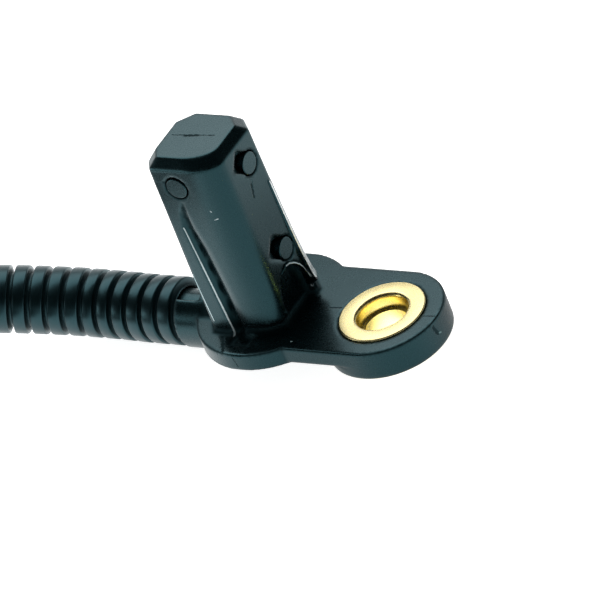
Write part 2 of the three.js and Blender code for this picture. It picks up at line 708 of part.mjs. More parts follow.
// A tube of the conduit's outer diameter along hand-chosen points.
function conduitTube(route) {
  const curve = new THREE.CatmullRomCurve3(route.map((point) => new THREE.Vector3(...point)));
  const steps = Math.max(2, Math.round(curve.getLength() / (1.2 * CONDUIT_DIAMETER)) * 2);
  const section = new THREE.Shape();
  for (let i = 0; i <= TUBE_SIDES; i += 1) {
    const turn = ((i + 0.5) / TUBE_SIDES) * 2 * Math.PI;
    const x = (CONDUIT_DIAMETER / 2) * Math.cos(turn);
    const y = (CONDUIT_DIAMETER / 2) * Math.sin(turn);
    if (i === 0) {
      section.moveTo(x, y);
    } else {
      section.lineTo(x, y);
    }
  }
  return solid(new THREE.ExtrudeGeometry(section, { steps, extrudePath: curve, bevelEnabled: false }));
}

// The stretch from the sensor to the coil, bored at its start for the spigot.
function conduitLead() {
  const bore = alongX(
    CONDUIT_BORE / 2, SPIGOT_END_X - CLEARANCE, LEAD_ROUTE[0][0] + CUT_OVERRUN,
    0, OUTLET_AXIS_Z, SMALL_SEGMENTS,
  );
  return conduitTube(LEAD_ROUTE).subtract(bore);
}

// The outer shape of the coiled turns, one on the other.
function conduitCoil() {
  const radius = CONDUIT_DIAMETER / 2;
  const low = COIL_FLOOR_GAP + radius;
  const high = low + (COIL_LAYERS - 1) * CONDUIT_DIAMETER;
  const profile = [];
  for (let i = 0; i <= CAP_STEPS; i += 1) {
    const turn = (i / CAP_STEPS) * Math.PI;
    profile.push([COIL_RADIUS - radius * Math.cos(turn), low - radius * Math.sin(turn)]);
  }
  for (let i = 0; i <= CAP_STEPS; i += 1) {
    const turn = (i / CAP_STEPS) * Math.PI;
    profile.push([COIL_RADIUS + radius * Math.cos(turn), high + radius * Math.sin(turn)]);
  }
  profile.push(profile[0]);
  const ring = revolved(profile, RING_SEGMENTS);
  ring.translate(COIL_CENTRE.x, COIL_CENTRE.y, 0);
  return solid(ring);
}

// One tie: a flat band round both turns.
function coilTie(degrees) {
  const gap = CLEARANCE;
  const inner = roundedRectangle(
    CONDUIT_DIAMETER + 2 * gap, COIL_LAYERS * CONDUIT_DIAMETER + 2 * gap, CONDUIT_DIAMETER / 2,
  );
  const outer = roundedRectangle(
    CONDUIT_DIAMETER + 2 * (gap + TIE_THICKNESS), COIL_LAYERS * CONDUIT_DIAMETER + 2 * (gap + TIE_THICKNESS),
    CONDUIT_DIAMETER / 2 + TIE_THICKNESS,
  );
  outer.holes.push(inner);
  const band = new THREE.ExtrudeGeometry(outer, {
    depth: TIE_WIDTH, bevelEnabled: false, curveSegments: CORNER_SEGMENTS,
  });
  band.translate(0, 0, -TIE_WIDTH / 2);
  band.rotateX(Math.PI / 2);
  band.translate(COIL_RADIUS, 0, COIL_FLOOR_GAP + (COIL_LAYERS * CONDUIT_DIAMETER) / 2);
  band.rotateZ(THREE.MathUtils.degToRad(degrees));
  band.translate(COIL_CENTRE.x, COIL_CENTRE.y, 0);
  return solid(band);
}

const COVER_END_X = PLUG_START_X + COVER_LENGTH;
const HOUSING_START_X = COVER_END_X + CLEARANCE;
const HOUSING_END_X = HOUSING_START_X + PLUG_LENGTH;
const SOCKET_START_X = HOUSING_END_X - SOCKET_DEPTH;

// The plug's rear cover, which grips the conduit.
function plugRearCover() {
  const body = joined([
    alongX(COVER_DIAMETER / 2, PLUG_START_X, COVER_END_X, PLUG_Y, PLUG_AXIS_Z),
    block(
      COVER_END_X - COVER_COLLAR, COVER_END_X,
      PLUG_Y - PLUG_WIDTH / 2 + COVER_STEP, PLUG_Y + PLUG_WIDTH / 2 - COVER_STEP,
      COVER_STEP / 2, PLUG_HEIGHT - COVER_STEP / 2,
    ),
  ]);
  const grip = alongX(
    CONDUIT_DIAMETER / 2 + CLEARANCE, PLUG_START_X - CUT_OVERRUN, PLUG_START_X + COVER_ENTRY,
    PLUG_Y, PLUG_AXIS_Z,
  );
  const passage = alongX(
    CONDUIT_BORE / 2, PLUG_START_X, COVER_END_X + CUT_OVERRUN, PLUG_Y, PLUG_AXIS_Z, SMALL_SEGMENTS,
  );
  return cut(body, [grip, passage]);
}

// The plug's housing: shrouded socket, pin holes, seal bores, lock slot and latch ramp.
function plugHousing() {
  const shell = pulledAlongX(
    roundedRectangle(PLUG_WIDTH, PLUG_HEIGHT, PLUG_CORNER), HOUSING_START_X, HOUSING_END_X,
  ).translate(0, PLUG_Y, PLUG_AXIS_Z);
  const socket = pulledAlongX(
    roundedRectangle(SOCKET_WIDTH, SOCKET_HEIGHT, SOCKET_CORNER),
    SOCKET_START_X, HOUSING_END_X + CUT_OVERRUN,
  ).translate(0, PLUG_Y, PLUG_AXIS_Z);
  const tools = [socket];
  for (const side of [-1, 1]) {
    const y = PLUG_Y + (side * PIN_PITCH) / 2;
    const half = PIN_SIZE / 2 + CLEARANCE;
    tools.push(block(
      HOUSING_START_X, SOCKET_START_X + CUT_OVERRUN,
      y - half, y + half, PLUG_AXIS_Z - half, PLUG_AXIS_Z + half,
    ));
    tools.push(alongX(
      WIRE_SEAL_DIAMETER / 2 + CLEARANCE, HOUSING_START_X - CUT_OVERRUN,
      HOUSING_START_X + WIRE_SEAL_LENGTH + CLEARANCE, y, PLUG_AXIS_Z, SMALL_SEGMENTS,
    ));
  }
  tools.push(blockAt(lockCentre(), {
    x: LOCK_SIZE.x + 2 * CLEARANCE, y: LOCK_SIZE.y + 2 * CLEARANCE, z: LOCK_SIZE.z + 2 * CLEARANCE,
  }));
  return cut(shell.add(latchRamp()), tools);
}

// The ramp over which the mating latch snaps.
function latchRamp() {
  const root = PLUG_HEIGHT - LATCH_ROOT;
  const top = root + LATCH_SIZE.z;
  const end = HOUSING_END_X - LATCH_SETBACK;
  const shape = new THREE.Shape();
  shape.moveTo(end - LATCH_SIZE.x, root);
  shape.lineTo(end, root);
  shape.lineTo(end - LATCH_RAMP, top);
  shape.lineTo(end - LATCH_SIZE.x, top);
  const geometry = new THREE.ExtrudeGeometry(shape, { depth: LATCH_SIZE.y, bevelEnabled: false });
  geometry.rotateX(Math.PI / 2);
  geometry.translate(0, PLUG_Y + LATCH_SIZE.y / 2, 0);
  return solid(geometry);
}

// Where the lock sits across the pin holes, open to the plug's underside.
function lockCentre() {
  return {
    x: (HOUSING_START_X + WIRE_SEAL_LENGTH + SOCKET_START_X) / 2,
    y: PLUG_Y,
    z: LOCK_SIZE.z / 2,
  };
}

// The lock: a bar across the underside with a tooth beside each pin.
function plugTerminalLock() {
  return blockAt(lockCentre(), LOCK_SIZE);
}

function plugPin(side) {
  const y = PLUG_Y + (side * PIN_PITCH) / 2;
  const half = PIN_SIZE / 2;
  const start = SOCKET_START_X - PIN_TAIL;
  const end = SOCKET_START_X + PIN_REACH;
  return block(start, end, y - half, y + half, PLUG_AXIS_Z - half, PLUG_AXIS_Z + half);
}

// One rubber seal between a core and the housing.
function wireSeal(side) {
  const y = PLUG_Y + (side * PIN_PITCH) / 2;
  const start = HOUSING_START_X + CLEARANCE;
  const end = start + WIRE_SEAL_LENGTH - CLEARANCE;
  const ring = alongX(WIRE_SEAL_DIAMETER / 2, start, end, y, PLUG_AXIS_Z, SMALL_SEGMENTS);
  return ring.subtract(alongX(
    WIRE_SEAL_BORE / 2, start - CUT_OVERRUN, end + CUT_OVERRUN, y, PLUG_AXIS_Z, CORE_SEGMENTS,
  ));
}

// The seal round the foot of the socket.
function plugFrontSeal() {
  const start = SOCKET_START_X + CLEARANCE;
  const width = SOCKET_WIDTH - 2 * CLEARANCE;
  const height = SOCKET_HEIGHT - 2 * CLEARANCE;
  const corner = SOCKET_CORNER - CLEARANCE;
  const outer = pulledAlongX(roundedRectangle(width, height, corner), start, start + SEAL_LENGTH);
  const inner = pulledAlongX(
    roundedRectangle(width - 2 * SEAL_THICKNESS, height - 2 * SEAL_THICKNESS, corner / 2),
    start - CUT_OVERRUN, start + SEAL_LENGTH + CUT_OVERRUN,
  );
  return outer.subtract(inner).translate(0, PLUG_Y, PLUG_AXIS_Z);
}

// One named mesh with its finish.
function piece(name, body, finish) {
  const material = new THREE.MeshStandardMaterial(FINISH[finish]);
  const mesh = new THREE.Mesh(geometryOf(body), material);
  mesh.name = name;
  return mesh;
}

const sensor = new THREE.Group();
sensor.add(
  piece('sensor_body', sensorBody(), 'overmould'),
  piece('mounting_bush', mountingBush(), 'brass'),
  piece('inner_carrier', innerCarrier(), 'carrier'),
  piece('sensor_chip', sensorChip(), 'ceramic'),
  piece('bias_magnet', biasMagnet(), 'magnet'),
  piece('filter_capacitor', capacitor(), 'ceramic'),
  piece('lead_strip_left', leadStrip(-1), 'tinned'),
  piece('lead_strip_right', leadStrip(1), 'tinned'),
  piece('crimp_left', crimp(-1), 'tinned'),
  piece('crimp_right', crimp(1), 'tinned'),
  piece('core_left', core(-1), 'coreBlue'),
  piece('core_right', core(1), 'coreBrown'),
  piece('cable_jacket', cableJacket(), 'jacket'),
);

const lead = new THREE.Group();
lead.add(
  piece('conduit_lead', conduitLead(), 'conduit'),
  piece('conduit_coil', conduitCoil(), 'conduit'),
  piece('conduit_tail', conduitTube(TAIL_ROUTE), 'conduit'),
  ...TIE_ANGLES.map((degrees, i) => piece(`coil_tie_${i + 1}`, coilTie(degrees), 'tie')),
);

const plug = new THREE.Group();
plug.add(
  piece('plug_rear_cover', plugRearCover(), 'plug'),
  piece('plug_housing', plugHousing(), 'plug'),
  piece('plug_terminal_lock', plugTerminalLock(), 'lock'),
  piece('plug_front_seal', plugFrontSeal(), 'seal'),
  piece('plug_pin_left', plugPin(-1), 'tinned'),
  piece('plug_pin_right', plugPin(1), 'tinned'),
  piece('wire_seal_left', wireSeal(-1), 'seal'),
  piece('wire_seal_right', wireSeal(1), 'seal'),
);

const whole = new THREE.Group();
whole.add(sensor, lead, plug);
whole.position.x = FRAME_SHIFT;

export default whole;
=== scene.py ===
"""Wheel speed sensor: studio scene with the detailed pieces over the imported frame."""
import logging
import math
from dataclasses import dataclass, field
from enum import Enum
from typing import Callable, Iterable, Optional, Sequence

import bmesh
import bpy
from mathutils import Matrix, Vector


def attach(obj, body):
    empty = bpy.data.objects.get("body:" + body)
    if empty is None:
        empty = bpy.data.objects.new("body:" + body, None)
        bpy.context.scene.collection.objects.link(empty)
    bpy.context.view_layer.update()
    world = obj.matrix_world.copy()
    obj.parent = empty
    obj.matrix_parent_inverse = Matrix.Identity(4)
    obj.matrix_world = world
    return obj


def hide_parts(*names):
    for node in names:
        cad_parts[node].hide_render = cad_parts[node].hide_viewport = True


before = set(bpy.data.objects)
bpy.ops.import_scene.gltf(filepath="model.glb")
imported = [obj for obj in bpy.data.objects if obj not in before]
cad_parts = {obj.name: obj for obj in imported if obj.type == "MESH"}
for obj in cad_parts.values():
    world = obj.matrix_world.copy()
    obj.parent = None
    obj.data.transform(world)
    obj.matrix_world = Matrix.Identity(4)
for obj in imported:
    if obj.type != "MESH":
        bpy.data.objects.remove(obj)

log = logging.getLogger("wheel_speed_sensor")

MM = 0.001
ROOT = "root"
Point = tuple[float, float, float]
Outline = list[tuple[float, float]]
# Places a lathe's across, up and along
Turn = Callable[[float, float, float], Point]
Tone = tuple[int, int, int]

# Distance from the tower's line to the frame's origin, as in the source of the solids
FRAME_SHIFT = -1.85
SEAT_Z = 7.8
TOWER_HEIGHT = 31.1
TIP_Z = SEAT_Z + TOWER_HEIGHT
OUTLET_Z = 5.0
SEAT_RADIUS = 11.5
HOLE_X = 18.9


def place(x: float, y: float, z: float) -> Vector:
    """Turn tower millimetres into frame metres.

    Args:
        x: Distance from the tower's line towards the bolt hole.
        y: Distance towards the back face.
        z: Height over the floor.

    Returns:
        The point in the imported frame.
    """
    return Vector(((x + FRAME_SHIFT) * MM, y * MM, z * MM))


def linked(name: str, data: bpy.types.ID) -> bpy.types.Object:
    """Make an object of its data and put it into the scene.

    Args:
        name: The object's name.
        data: A mesh, curve, camera or lamp.

    Returns:
        The object, at the frame's origin.
    """
    made = bpy.data.objects.new(name, data)
    bpy.context.scene.collection.objects.link(made)
    return made


class Slot(Enum):
    """Material slots of the record."""

    OVERMOULD = "overmould"
    CARRIER = "carrier"
    BRASS = "brass"
    CERAMIC = "ceramic"
    MAGNET = "magnet"
    TINNED = "tinned"
    CORE = "core"
    JACKET = "jacket"
    CONDUIT = "conduit"
    TIE = "tie"
    PLUG = "plug"
    LOCK = "lock"
    SEAL = "seal"


class Cut(Enum):
    """What a second solid does to a first one."""

    JOIN = "UNION"
    CUT = "DIFFERENCE"


class Board:
    """A node tree with short calls to add and join nodes."""

    def __init__(self, tree: bpy.types.NodeTree) -> None:
        """Keep the tree that the nodes go into.

        Args:
            tree: A shader or geometry node tree.
        """
        self.tree = tree

    @classmethod
    def cleared(cls, holder: bpy.types.ID) -> "Board":
        """Empty the node tree of a material or world.

        Args:
            holder: The material or world.

        Returns:
            The board of its tree.
        """
        holder.use_nodes = True
        holder.node_tree.nodes.clear()
        return cls(holder.node_tree)

    def add(self, kind: str, settings: Optional[dict] = None, **inputs: object) -> bpy.types.Node:
        """Add a node.

        Args:
            kind: The node's type.
            settings: Properties of the node to set.
            inputs: Values or sockets by input name, with underscores for spaces.

        Returns:
            The new node.
        """
        node = self.tree.nodes.new(kind)
        for key, value in (settings or {}).items():
            setattr(node, key, value)
        for key, value in inputs.items():
            self.feed(node, key.replace("_", " "), value)
        return node

    def feed(self, node: bpy.types.Node, key: object, value: object) -> None:
        """Give an input a value or join it to a socket.

        Args:
            node: The node.
            key: The input's name or number.
            value: A plain value or an output socket.
        """
        socket = node.inputs[key]
        if isinstance(value, bpy.types.NodeSocket):
            self.tree.links.new(value, socket)
        else:
            socket.default_value = value

    def math(self, operation: str, *values: object, clamp: bool = False) -> bpy.types.NodeSocket:
        """Add a Math node.

        Args:
            operation: The operation's name.
            values: Its inputs in order.
            clamp: Whether the result stays within 0 and 1.

        Returns:
            The result's socket.
        """
        node = self.add("ShaderNodeMath", {"operation": operation, "use_clamp": clamp})
        for number, value in enumerate(values):
            self.feed(node, number, value)
        return node.outputs[0]

    def vector(self, operation: str, *values: object, **inputs: object) -> bpy.types.NodeSocket:
        """Add a Vector Math node.

        Args:
            operation: The operation's name.
            values: Its vectors in order.
            inputs: Further values by input name.

        Returns:
            The result's socket, a number for a length, a distance or a dot product.
        """
        node = self.add("ShaderNodeVectorMath", {"operation": operation}, **inputs)
        for number, value in enumerate(values):
            self.feed(node, number, value)
        return node.outputs["Value" if operation in ("LENGTH", "DISTANCE", "DOT_PRODUCT") else "Vector"]

    def mix(self, factor: object, first: object, second: object) -> bpy.types.NodeSocket:
        """Mix two colours.

        Args:
            factor: Share of the second colour.
            first: A colour or socket.
            second: A colour or socket.

        Returns:
            The mixed colour's socket.
        """
        node = self.add("ShaderNodeMix", {"data_type": "RGBA"})
        self.feed(node, 0, factor)
        self.feed(node, 6, first)
        self.feed(node, 7, second)
        return node.outputs[2]

    def span(self, value: object, low: float, high: float, to_low: float = 0.0,
             to_high: float = 1.0) -> bpy.types.NodeSocket:
        """Map a range smoothly to another.

        Args:
            value: The socket to map.
            low: Start of its range.
            high: End of its range.
            to_low: Result at the start.
            to_high: Result at the end.

        Returns:
            The mapped value's socket.
        """
        node = self.add("ShaderNodeMapRange", {"interpolation_type": "SMOOTHSTEP"})
        for number, entry in enumerate((value, low, high, to_low, to_high)):
            self.feed(node, number, entry)
        return node.outputs[0]


class SurfaceEffects:
    """Shader node groups that more than one material uses, each built once."""

    built: dict[str, bpy.types.NodeTree] = {}

    @classmethod
    def group(cls, name: str, inputs: dict[str, float], outputs: Sequence[str],
              fill: Callable[[Board, bpy.types.Node, bpy.types.Node], None],
              places: Sequence[str] = ()) -> bpy.types.NodeTree:
        """Build a group once and give it back.

        Args:
            name: The group's name.
            inputs: Input names and start values.
            outputs: Output names.
            fill: Adds the nodes between group input and group output.
            places: Names of inputs that hold a place.

        Returns:
            The node group.
        """
        if name in cls.built:
            return cls.built[name]
        tree = bpy.data.node_groups.new(name, "ShaderNodeTree")
        for key, value in inputs.items():
            socket = tree.interface.new_socket(key, in_out="INPUT", socket_type="NodeSocketFloat")
            socket.default_value = value
        for key in places:
            tree.interface.new_socket(key, in_out="INPUT", socket_type="NodeSocketVector")
        for key in outputs:
            tree.interface.new_socket(key, in_out="OUTPUT", socket_type="NodeSocketFloat")
        board = Board(tree)
        fill(board, board.add("NodeGroupInput"), board.add("NodeGroupOutput"))
        cls.built[name] = tree
        return tree

    @classmethod
    def grain(cls) -> bpy.types.NodeTree:
        """Fine surface grain and cloudy shade of a moulded or drawn surface.

        Returns:
            The node group.
        """

        def fill(board: Board, source: bpy.types.Node, sink: bpy.types.Node) -> None:
            """Join object coordinates through noises to the outputs."""
            where = board.add("ShaderNodeTexCoord").outputs["Object"]
            fine = board.add("ShaderNodeTexNoise", Vector=where, Detail=4.0, Roughness=0.62)
            board.feed(fine, "Scale", source.outputs["Fine Scale"])
            cloud = board.add("ShaderNodeTexNoise", Vector=where, Detail=3.0, Roughness=0.55)
            board.feed(cloud, "Scale", source.outputs["Cloud Scale"])
            fine_part = board.math("SUBTRACT", fine.outputs[0], 0.5)
            cloud_part = board.math("SUBTRACT", cloud.outputs[0], 0.5)
            shade = board.math("ADD", cloud_part, board.math("MULTIPLY", fine_part, 0.35))
            board.feed(sink, "Shade", board.math("MULTIPLY", shade, source.outputs["Shade Depth"]))
            board.feed(sink, "Gloss", board.math("ADD", cloud_part, fine_part))
            board.feed(sink, "Height", fine.outputs[0])

        return cls.group("surface_grain", {"Fine Scale": 2600.0, "Cloud Scale": 160.0, "Shade Depth": 0.3},
                         ("Shade", "Gloss", "Height"), fill)

    @classmethod
    def edge_wear(cls) -> bpy.types.NodeTree:
        """Broken wear along the edges that the mesh marks.

        Returns:
            The node group.
        """

        def fill(board: Board, source: bpy.types.Node, sink: bpy.types.Node) -> None:
            """Join the edge attribute, broken by a noise, to the mask."""
            edge = board.add("ShaderNodeAttribute", {"attribute_name": "edge"}).outputs["Fac"]
            where = board.add("ShaderNodeTexCoord").outputs["Object"]
            noise = board.add("ShaderNodeTexNoise", Vector=where, Detail=5.0, Roughness=0.7)
            board.feed(noise, "Scale", source.outputs["Break Scale"])
            broken = board.span(noise.outputs[0], 0.35, 0.62)
            worn = board.math("MULTIPLY", edge, broken)
            board.feed(sink, "Mask", board.math("MULTIPLY", worn, source.outputs["Amount"], clamp=True))

        return cls.group("edge_wear", {"Amount": 0.5, "Break Scale": 900.0}, ("Mask",), fill)

    @classmethod
    def dust(cls) -> bpy.types.NodeTree:
        """Scattered pale specks.

        Returns:
            The node group.
        """

        def fill(board: Board, source: bpy.types.Node, sink: bpy.types.Node) -> None:
            """Join sparse cells to the mask."""
            where = board.add("ShaderNodeTexCoord").outputs["Object"]
            cells = board.add("ShaderNodeTexVoronoi", Vector=where)
            board.feed(cells, "Scale", source.outputs["Scale"])
            near = board.span(cells.outputs["Distance"], 0.05, 0.11, 1.0, 0.0)
            split = board.add("ShaderNodeSeparateColor", Color=cells.outputs["Color"])
            chosen = board.math("LESS_THAN", split.outputs[0], source.outputs["Share"])
            board.feed(sink, "Mask", board.math("MULTIPLY", near, chosen))

        return cls.group("dust_specks", {"Scale": 420.0, "Share": 0.06}, ("Mask",), fill)

    @classmethod
    def scratch(cls) -> bpy.types.NodeTree:
        """A ragged line from one place to another.

        Returns:
            The node group.
        """

        def fill(board: Board, source: bpy.types.Node, sink: bpy.types.Node) -> None:
            """Join the distance from the line, moved by a noise, to the mask."""
            where = board.add("ShaderNodeTexCoord").outputs["Object"]
            noise = board.add("ShaderNodeTexNoise", Vector=where, Scale=2400.0, Detail=3.0, Roughness=0.7)
            centred = board.vector("SUBTRACT", noise.outputs["Color"], (0.5, 0.5, 0.5))
            drift = board.vector("SCALE", centred, Scale=source.outputs["Wobble"])
            start = source.outputs["Start"]
            away = board.vector("SUBTRACT", board.vector("ADD", where, drift), start)
            whole = board.vector("SUBTRACT", source.outputs["End"], start)
            share = board.math("DIVIDE", board.vector("DOT_PRODUCT", away, whole),
                               board.vector("DOT_PRODUCT", whole, whole), clamp=True)
            aside = board.vector("SUBTRACT", away, board.vector("SCALE", whole, Scale=share))
            gap = board.vector("LENGTH", board.vector("MULTIPLY", aside, source.outputs["Weights"]))
            relative = board.math("DIVIDE", gap, source.outputs["Width"])
            board.feed(sink, "Mask", board.span(relative, 0.5, 1.1, 1.0, 0.0))

        return cls.group("scratch_line", {"Width": 0.0001, "Wobble": 0.0002}, ("Mask",), fill,
                         ("Start", "End", "Weights"))


def colour(red: int, green: int, blue: int) -> tuple[float, float, float, float]:
    """Turn an sRGB colour of 0 to 255 into linear values.

    Args:
        red: Red.
        green: Green.
        blue: Blue.

    Returns:
        Linear red, green, blue and an alpha of 1.
    """
    def one(value: int) -> float:
        """Undo the sRGB curve for one channel."""
        share = value / 255
        return share / 12.92 if share <= 0.04045 else ((share + 0.055) / 1.055) ** 2.4

    return (one(red), one(green), one(blue), 1.0)


@dataclass(frozen=True)
class Mark:
    """A scratch, scar, speck or painted highlight on the surface, in tower millimetres."""

    # The rise is in grain heights, the glint is how metallic the line looks: a painted glint
    start: Point
    end: Point
    width: float
    wobble: float = 0.1
    tone: Tone = (0, 2, 3)
    rise: float = -6.0
    glint: float = 0.0
    weights: Point = (1.0, 1.0, 1.0)


# Pale tone of the specks and of the painted highlights along edges
PALE_SPECK_AND_HIGHLIGHT = (206, 220, 222)
# How much a mark's distance counts along each axis, for faces seen from the front and the side
FRONTAL: Point = (1.0, 0.15, 1.0)
SIDEWAYS: Point = (0.2, 1.0, 1.0)

# The rim of the arched recess on the side face, as distance to the back and height
ARCH_RIM: tuple[tuple[float, float], ...] = (
    (-3.9, SEAT_Z), (-3.9, 11.8), (-3.2, 14.2), (-2.2, 15.5), (-0.88, 16.01), (-0.11, 15.83), (0.91, 15.11),
    (1.77, 14.17), (2.3, 13.17), (2.6, 12.2), (2.8, 11.27), (2.97, 10.2), (2.87, 9.17), (2.87, SEAT_Z),
)

OVERMOULD_MARKS: tuple[Mark, ...] = (
    # The gate's scar on the tip
    Mark((-4.5, -0.65, TIP_Z), (2.5, -0.15, TIP_Z), 0.12, 0.5),
    Mark((-2.3, -0.62, TIP_Z), (-0.2, -0.4, TIP_Z), 0.3, 0.8),
    # Pale specks on the front, with a painted glint
    Mark((2.12, -6.35, 30.4), (2.25, -6.35, 30.2), 0.09, 0.1, PALE_SPECK_AND_HIGHLIGHT, 3.0, 0.7, FRONTAL),
    Mark((2.2, -6.3, 28.8), (2.8, -6.3, 28.95), 0.08, 0.25, PALE_SPECK_AND_HIGHLIGHT, 3.0, 0.7, FRONTAL),
    # The dark line below the upper side peg
    Mark((5.75, -0.6, 30.6), (5.75, -1.1, 28.7), 0.3, 0.8, weights=SIDEWAYS),
    Mark((5.75, -0.2, 31.0), (5.75, -0.6, 29.8), 0.12, 0.3, (60, 88, 92), weights=SIDEWAYS),
    # The flow line across the ear, on both sides of the bush
    Mark((9.9, 0.08, SEAT_Z), (11.8, 0.27, SEAT_Z), 0.14, 0.1),
    Mark((25.6, -0.1, SEAT_Z), (27.8, 0.1, SEAT_Z), 0.1, 0.15),
    # Flash on the seat and a tick on its rim
    Mark((-4.1, -7.9, SEAT_Z), (-2.3, -10.8, SEAT_Z), 0.34, 1.1),
    Mark((-0.5, -11.45, 7.2), (-0.15, -11.45, 5.7), 0.13, 0.25),
    # The nick in the pad's wall, a pale spot in it with a painted glint, and a speck on the ear
    Mark((27.75, -1.4, 7.0), (27.9, -1.0, 5.6), 0.34, 0.5, weights=SIDEWAYS),
    Mark((27.9, -0.7, 5.5), (27.95, -0.4, 5.3), 0.16, 0.2, (120, 146, 146), 3.0, 0.4, SIDEWAYS),
    Mark((7.6, -7.6, SEAT_Z), (7.7, -7.6, SEAT_Z), 0.16, 0.1, (150, 172, 172), 3.0),
    # Painted highlights, pale and glinting, along the edges of the fin, the arch, the slot and the tower's foot
    Mark((5.97, 2.95, 28.3), (6.35, 2.95, 17.0), 0.09, 0.04, (240, 246, 246), 0.5, 1.0, SIDEWAYS),
    Mark((6.35, 2.95, 17.0), (7.2, 2.95, 10.6), 0.11, 0.04, (240, 246, 246), 0.5, 1.0, SIDEWAYS),
    *(Mark((6.0, *here), (6.0, *there), 0.11, 0.05, PALE_SPECK_AND_HIGHLIGHT, 0.5, painted_glint, SIDEWAYS)
      for here, there, painted_glint in zip(ARCH_RIM[4:], ARCH_RIM[5:], (0.25, 0.5, 0.8, 0.85, 0.8, 0.7, 0.5, 0.3))),
    *(Mark((x, -6.85, z), (u, -6.85, w), width, 0.05, PALE_SPECK_AND_HIGHLIGHT, 0.5, painted_glint, FRONTAL)
      for (x, z), (u, w), width, painted_glint in (((-3.82, 26.95), (-3.41, 20.68), 0.085, 0.55),
                                           ((-3.41, 20.68), (-2.97, 13.9), 0.1, 0.7),
                                           ((-2.97, 13.9), (-2.52, 7.24), 0.11, 0.75),
                                           ((-5.71, 18.31), (-5.32, 9.88), 0.09, 0.7))),
)


@dataclass(frozen=True)
class Finish:
    """What every finish has: a name, two colours and how rough it is."""

    name: str
    deep: Tone
    pale: Tone
    roughness: float

    def start(self) -> tuple[bpy.types.Material, Board, bpy.types.Node]:
        """Make an empty material with its shader.

        Returns:
            The material, its board and its Principled node.
        """
        material = bpy.data.materials.new(self.name)
        board = Board.cleared(material)
        shader = board.add("ShaderNodeBsdfPrincipled")
        board.add("ShaderNodeOutputMaterial", Surface=shader.outputs[0])
        return material, board, shader

    def group(self, board: Board, tree: bpy.types.NodeTree, **inputs: object) -> bpy.types.Node:
        """Place a shared group.

        Args:
            board: The material's board.
            tree: The group.
            inputs: Values by input name, with underscores for spaces.

        Returns:
            The group's node.
        """
        node = board.add("ShaderNodeGroup", {"node_tree": tree})
        for key, value in inputs.items():
            node.inputs[key.replace("_", " ")].default_value = value
        return node


def lifted(tone: Tone, by: int) -> Tone:
    """Make a colour paler by the same step on each channel.

    Args:
        tone: The colour, 0 to 255.
        by: The step.

    Returns:
        The paler colour.
    """
    return tuple(min(255, channel + by) for channel in tone)


@dataclass(frozen=True)
class MouldedPlastic(Finish):
    """Moulded or extruded plastic with grain, worn edges, a little dust and marks, some of them painted
    highlights.
    """

    specular: float = 0.5
    tint: tuple[float, float, float] = (1.0, 1.0, 1.0)
    grain_height: float = 0.02
    fine_scale: float = 2600.0
    shade_depth: float = 0.3
    wear: float = 0.12
    dust: float = 0.03
    marks: tuple[Mark, ...] = ()
    # Start of the shade, how much paler wear is, and what each effect adds to the roughness
    shade_middle: float = 0.35
    worn_lift: int = 60
    dust_tone: Tone = (150, 160, 160)
    dust_depth: float = 0.35
    grain_dull: float = 0.1
    hollow_dull: float = 0.6
    worn_dull: float = 0.08
    mark_dull: float = 0.5
    glint_dull: float = 0.12

    def material(self) -> bpy.types.Material:
        """Build the plastic.

        Returns:
            The finished material.
        """
        material, board, shader = self.start()
        grain = self.group(board, SurfaceEffects.grain(), Fine_Scale=self.fine_scale,
                           Shade_Depth=self.shade_depth)
        wear = self.group(board, SurfaceEffects.edge_wear(), Amount=self.wear)
        dust = self.group(board, SurfaceEffects.dust(), Share=self.dust)
        tone = board.math("ADD", grain.outputs["Shade"], self.shade_middle, clamp=True)
        base = board.mix(tone, colour(*self.deep), colour(*self.pale))
        worn = board.mix(wear.outputs["Mask"], base, colour(*lifted(self.pale, self.worn_lift)))
        dusty = board.mix(board.math("MULTIPLY", dust.outputs["Mask"], self.dust_depth), worn,
                          colour(*self.dust_tone))
        rough = board.math("ADD", board.math("MULTIPLY", grain.outputs["Gloss"], self.grain_dull), self.roughness)
        hollow = board.add("ShaderNodeAttribute", {"attribute_name": "hollow"}).outputs["Fac"]
        rough = board.math("ADD", rough, board.math("MULTIPLY", hollow, self.hollow_dull), clamp=True)
        depth = grain.outputs["Height"]
        painted_glint: object = 0.0
        for mark in self.marks:
            drawn = self.group(board, SurfaceEffects.scratch(), Width=mark.width * MM, Wobble=mark.wobble * MM,
                               Start=place(*mark.start), End=place(*mark.end), Weights=mark.weights)
            line = drawn.outputs["Mask"]
            dusty = board.mix(line, dusty, colour(*mark.tone))
            dull = self.glint_dull if mark.glint else self.mark_dull
            rough = board.math("ADD", rough, board.math("MULTIPLY", line, dull), clamp=True)
            depth = board.math("ADD", depth, board.math("MULTIPLY", line, mark.rise))
            # A mark with a glint turns metallic there: a painted glint
            if mark.glint:
                painted_glint = board.math("MAXIMUM", painted_glint, board.math("MULTIPLY", line, mark.glint))
        board.feed(shader, "Base Color", dusty)
        if any(mark.glint for mark in self.marks):
            board.feed(shader, "Metallic", painted_glint)
        worn_rough = board.math("MULTIPLY", wear.outputs["Mask"], self.worn_dull)
        board.feed(shader, "Roughness", board.math("ADD", rough, worn_rough, clamp=True))
        shader.inputs["Specular IOR Level"].default_value = self.specular
        shader.inputs["Specular Tint"].default_value = (*self.tint, 1.0)
        bump = board.add("ShaderNodeBump", Strength=0.5, Distance=self.grain_height * MM, Height=depth)
        board.feed(shader, "Normal", bump.outputs[0])
        return material


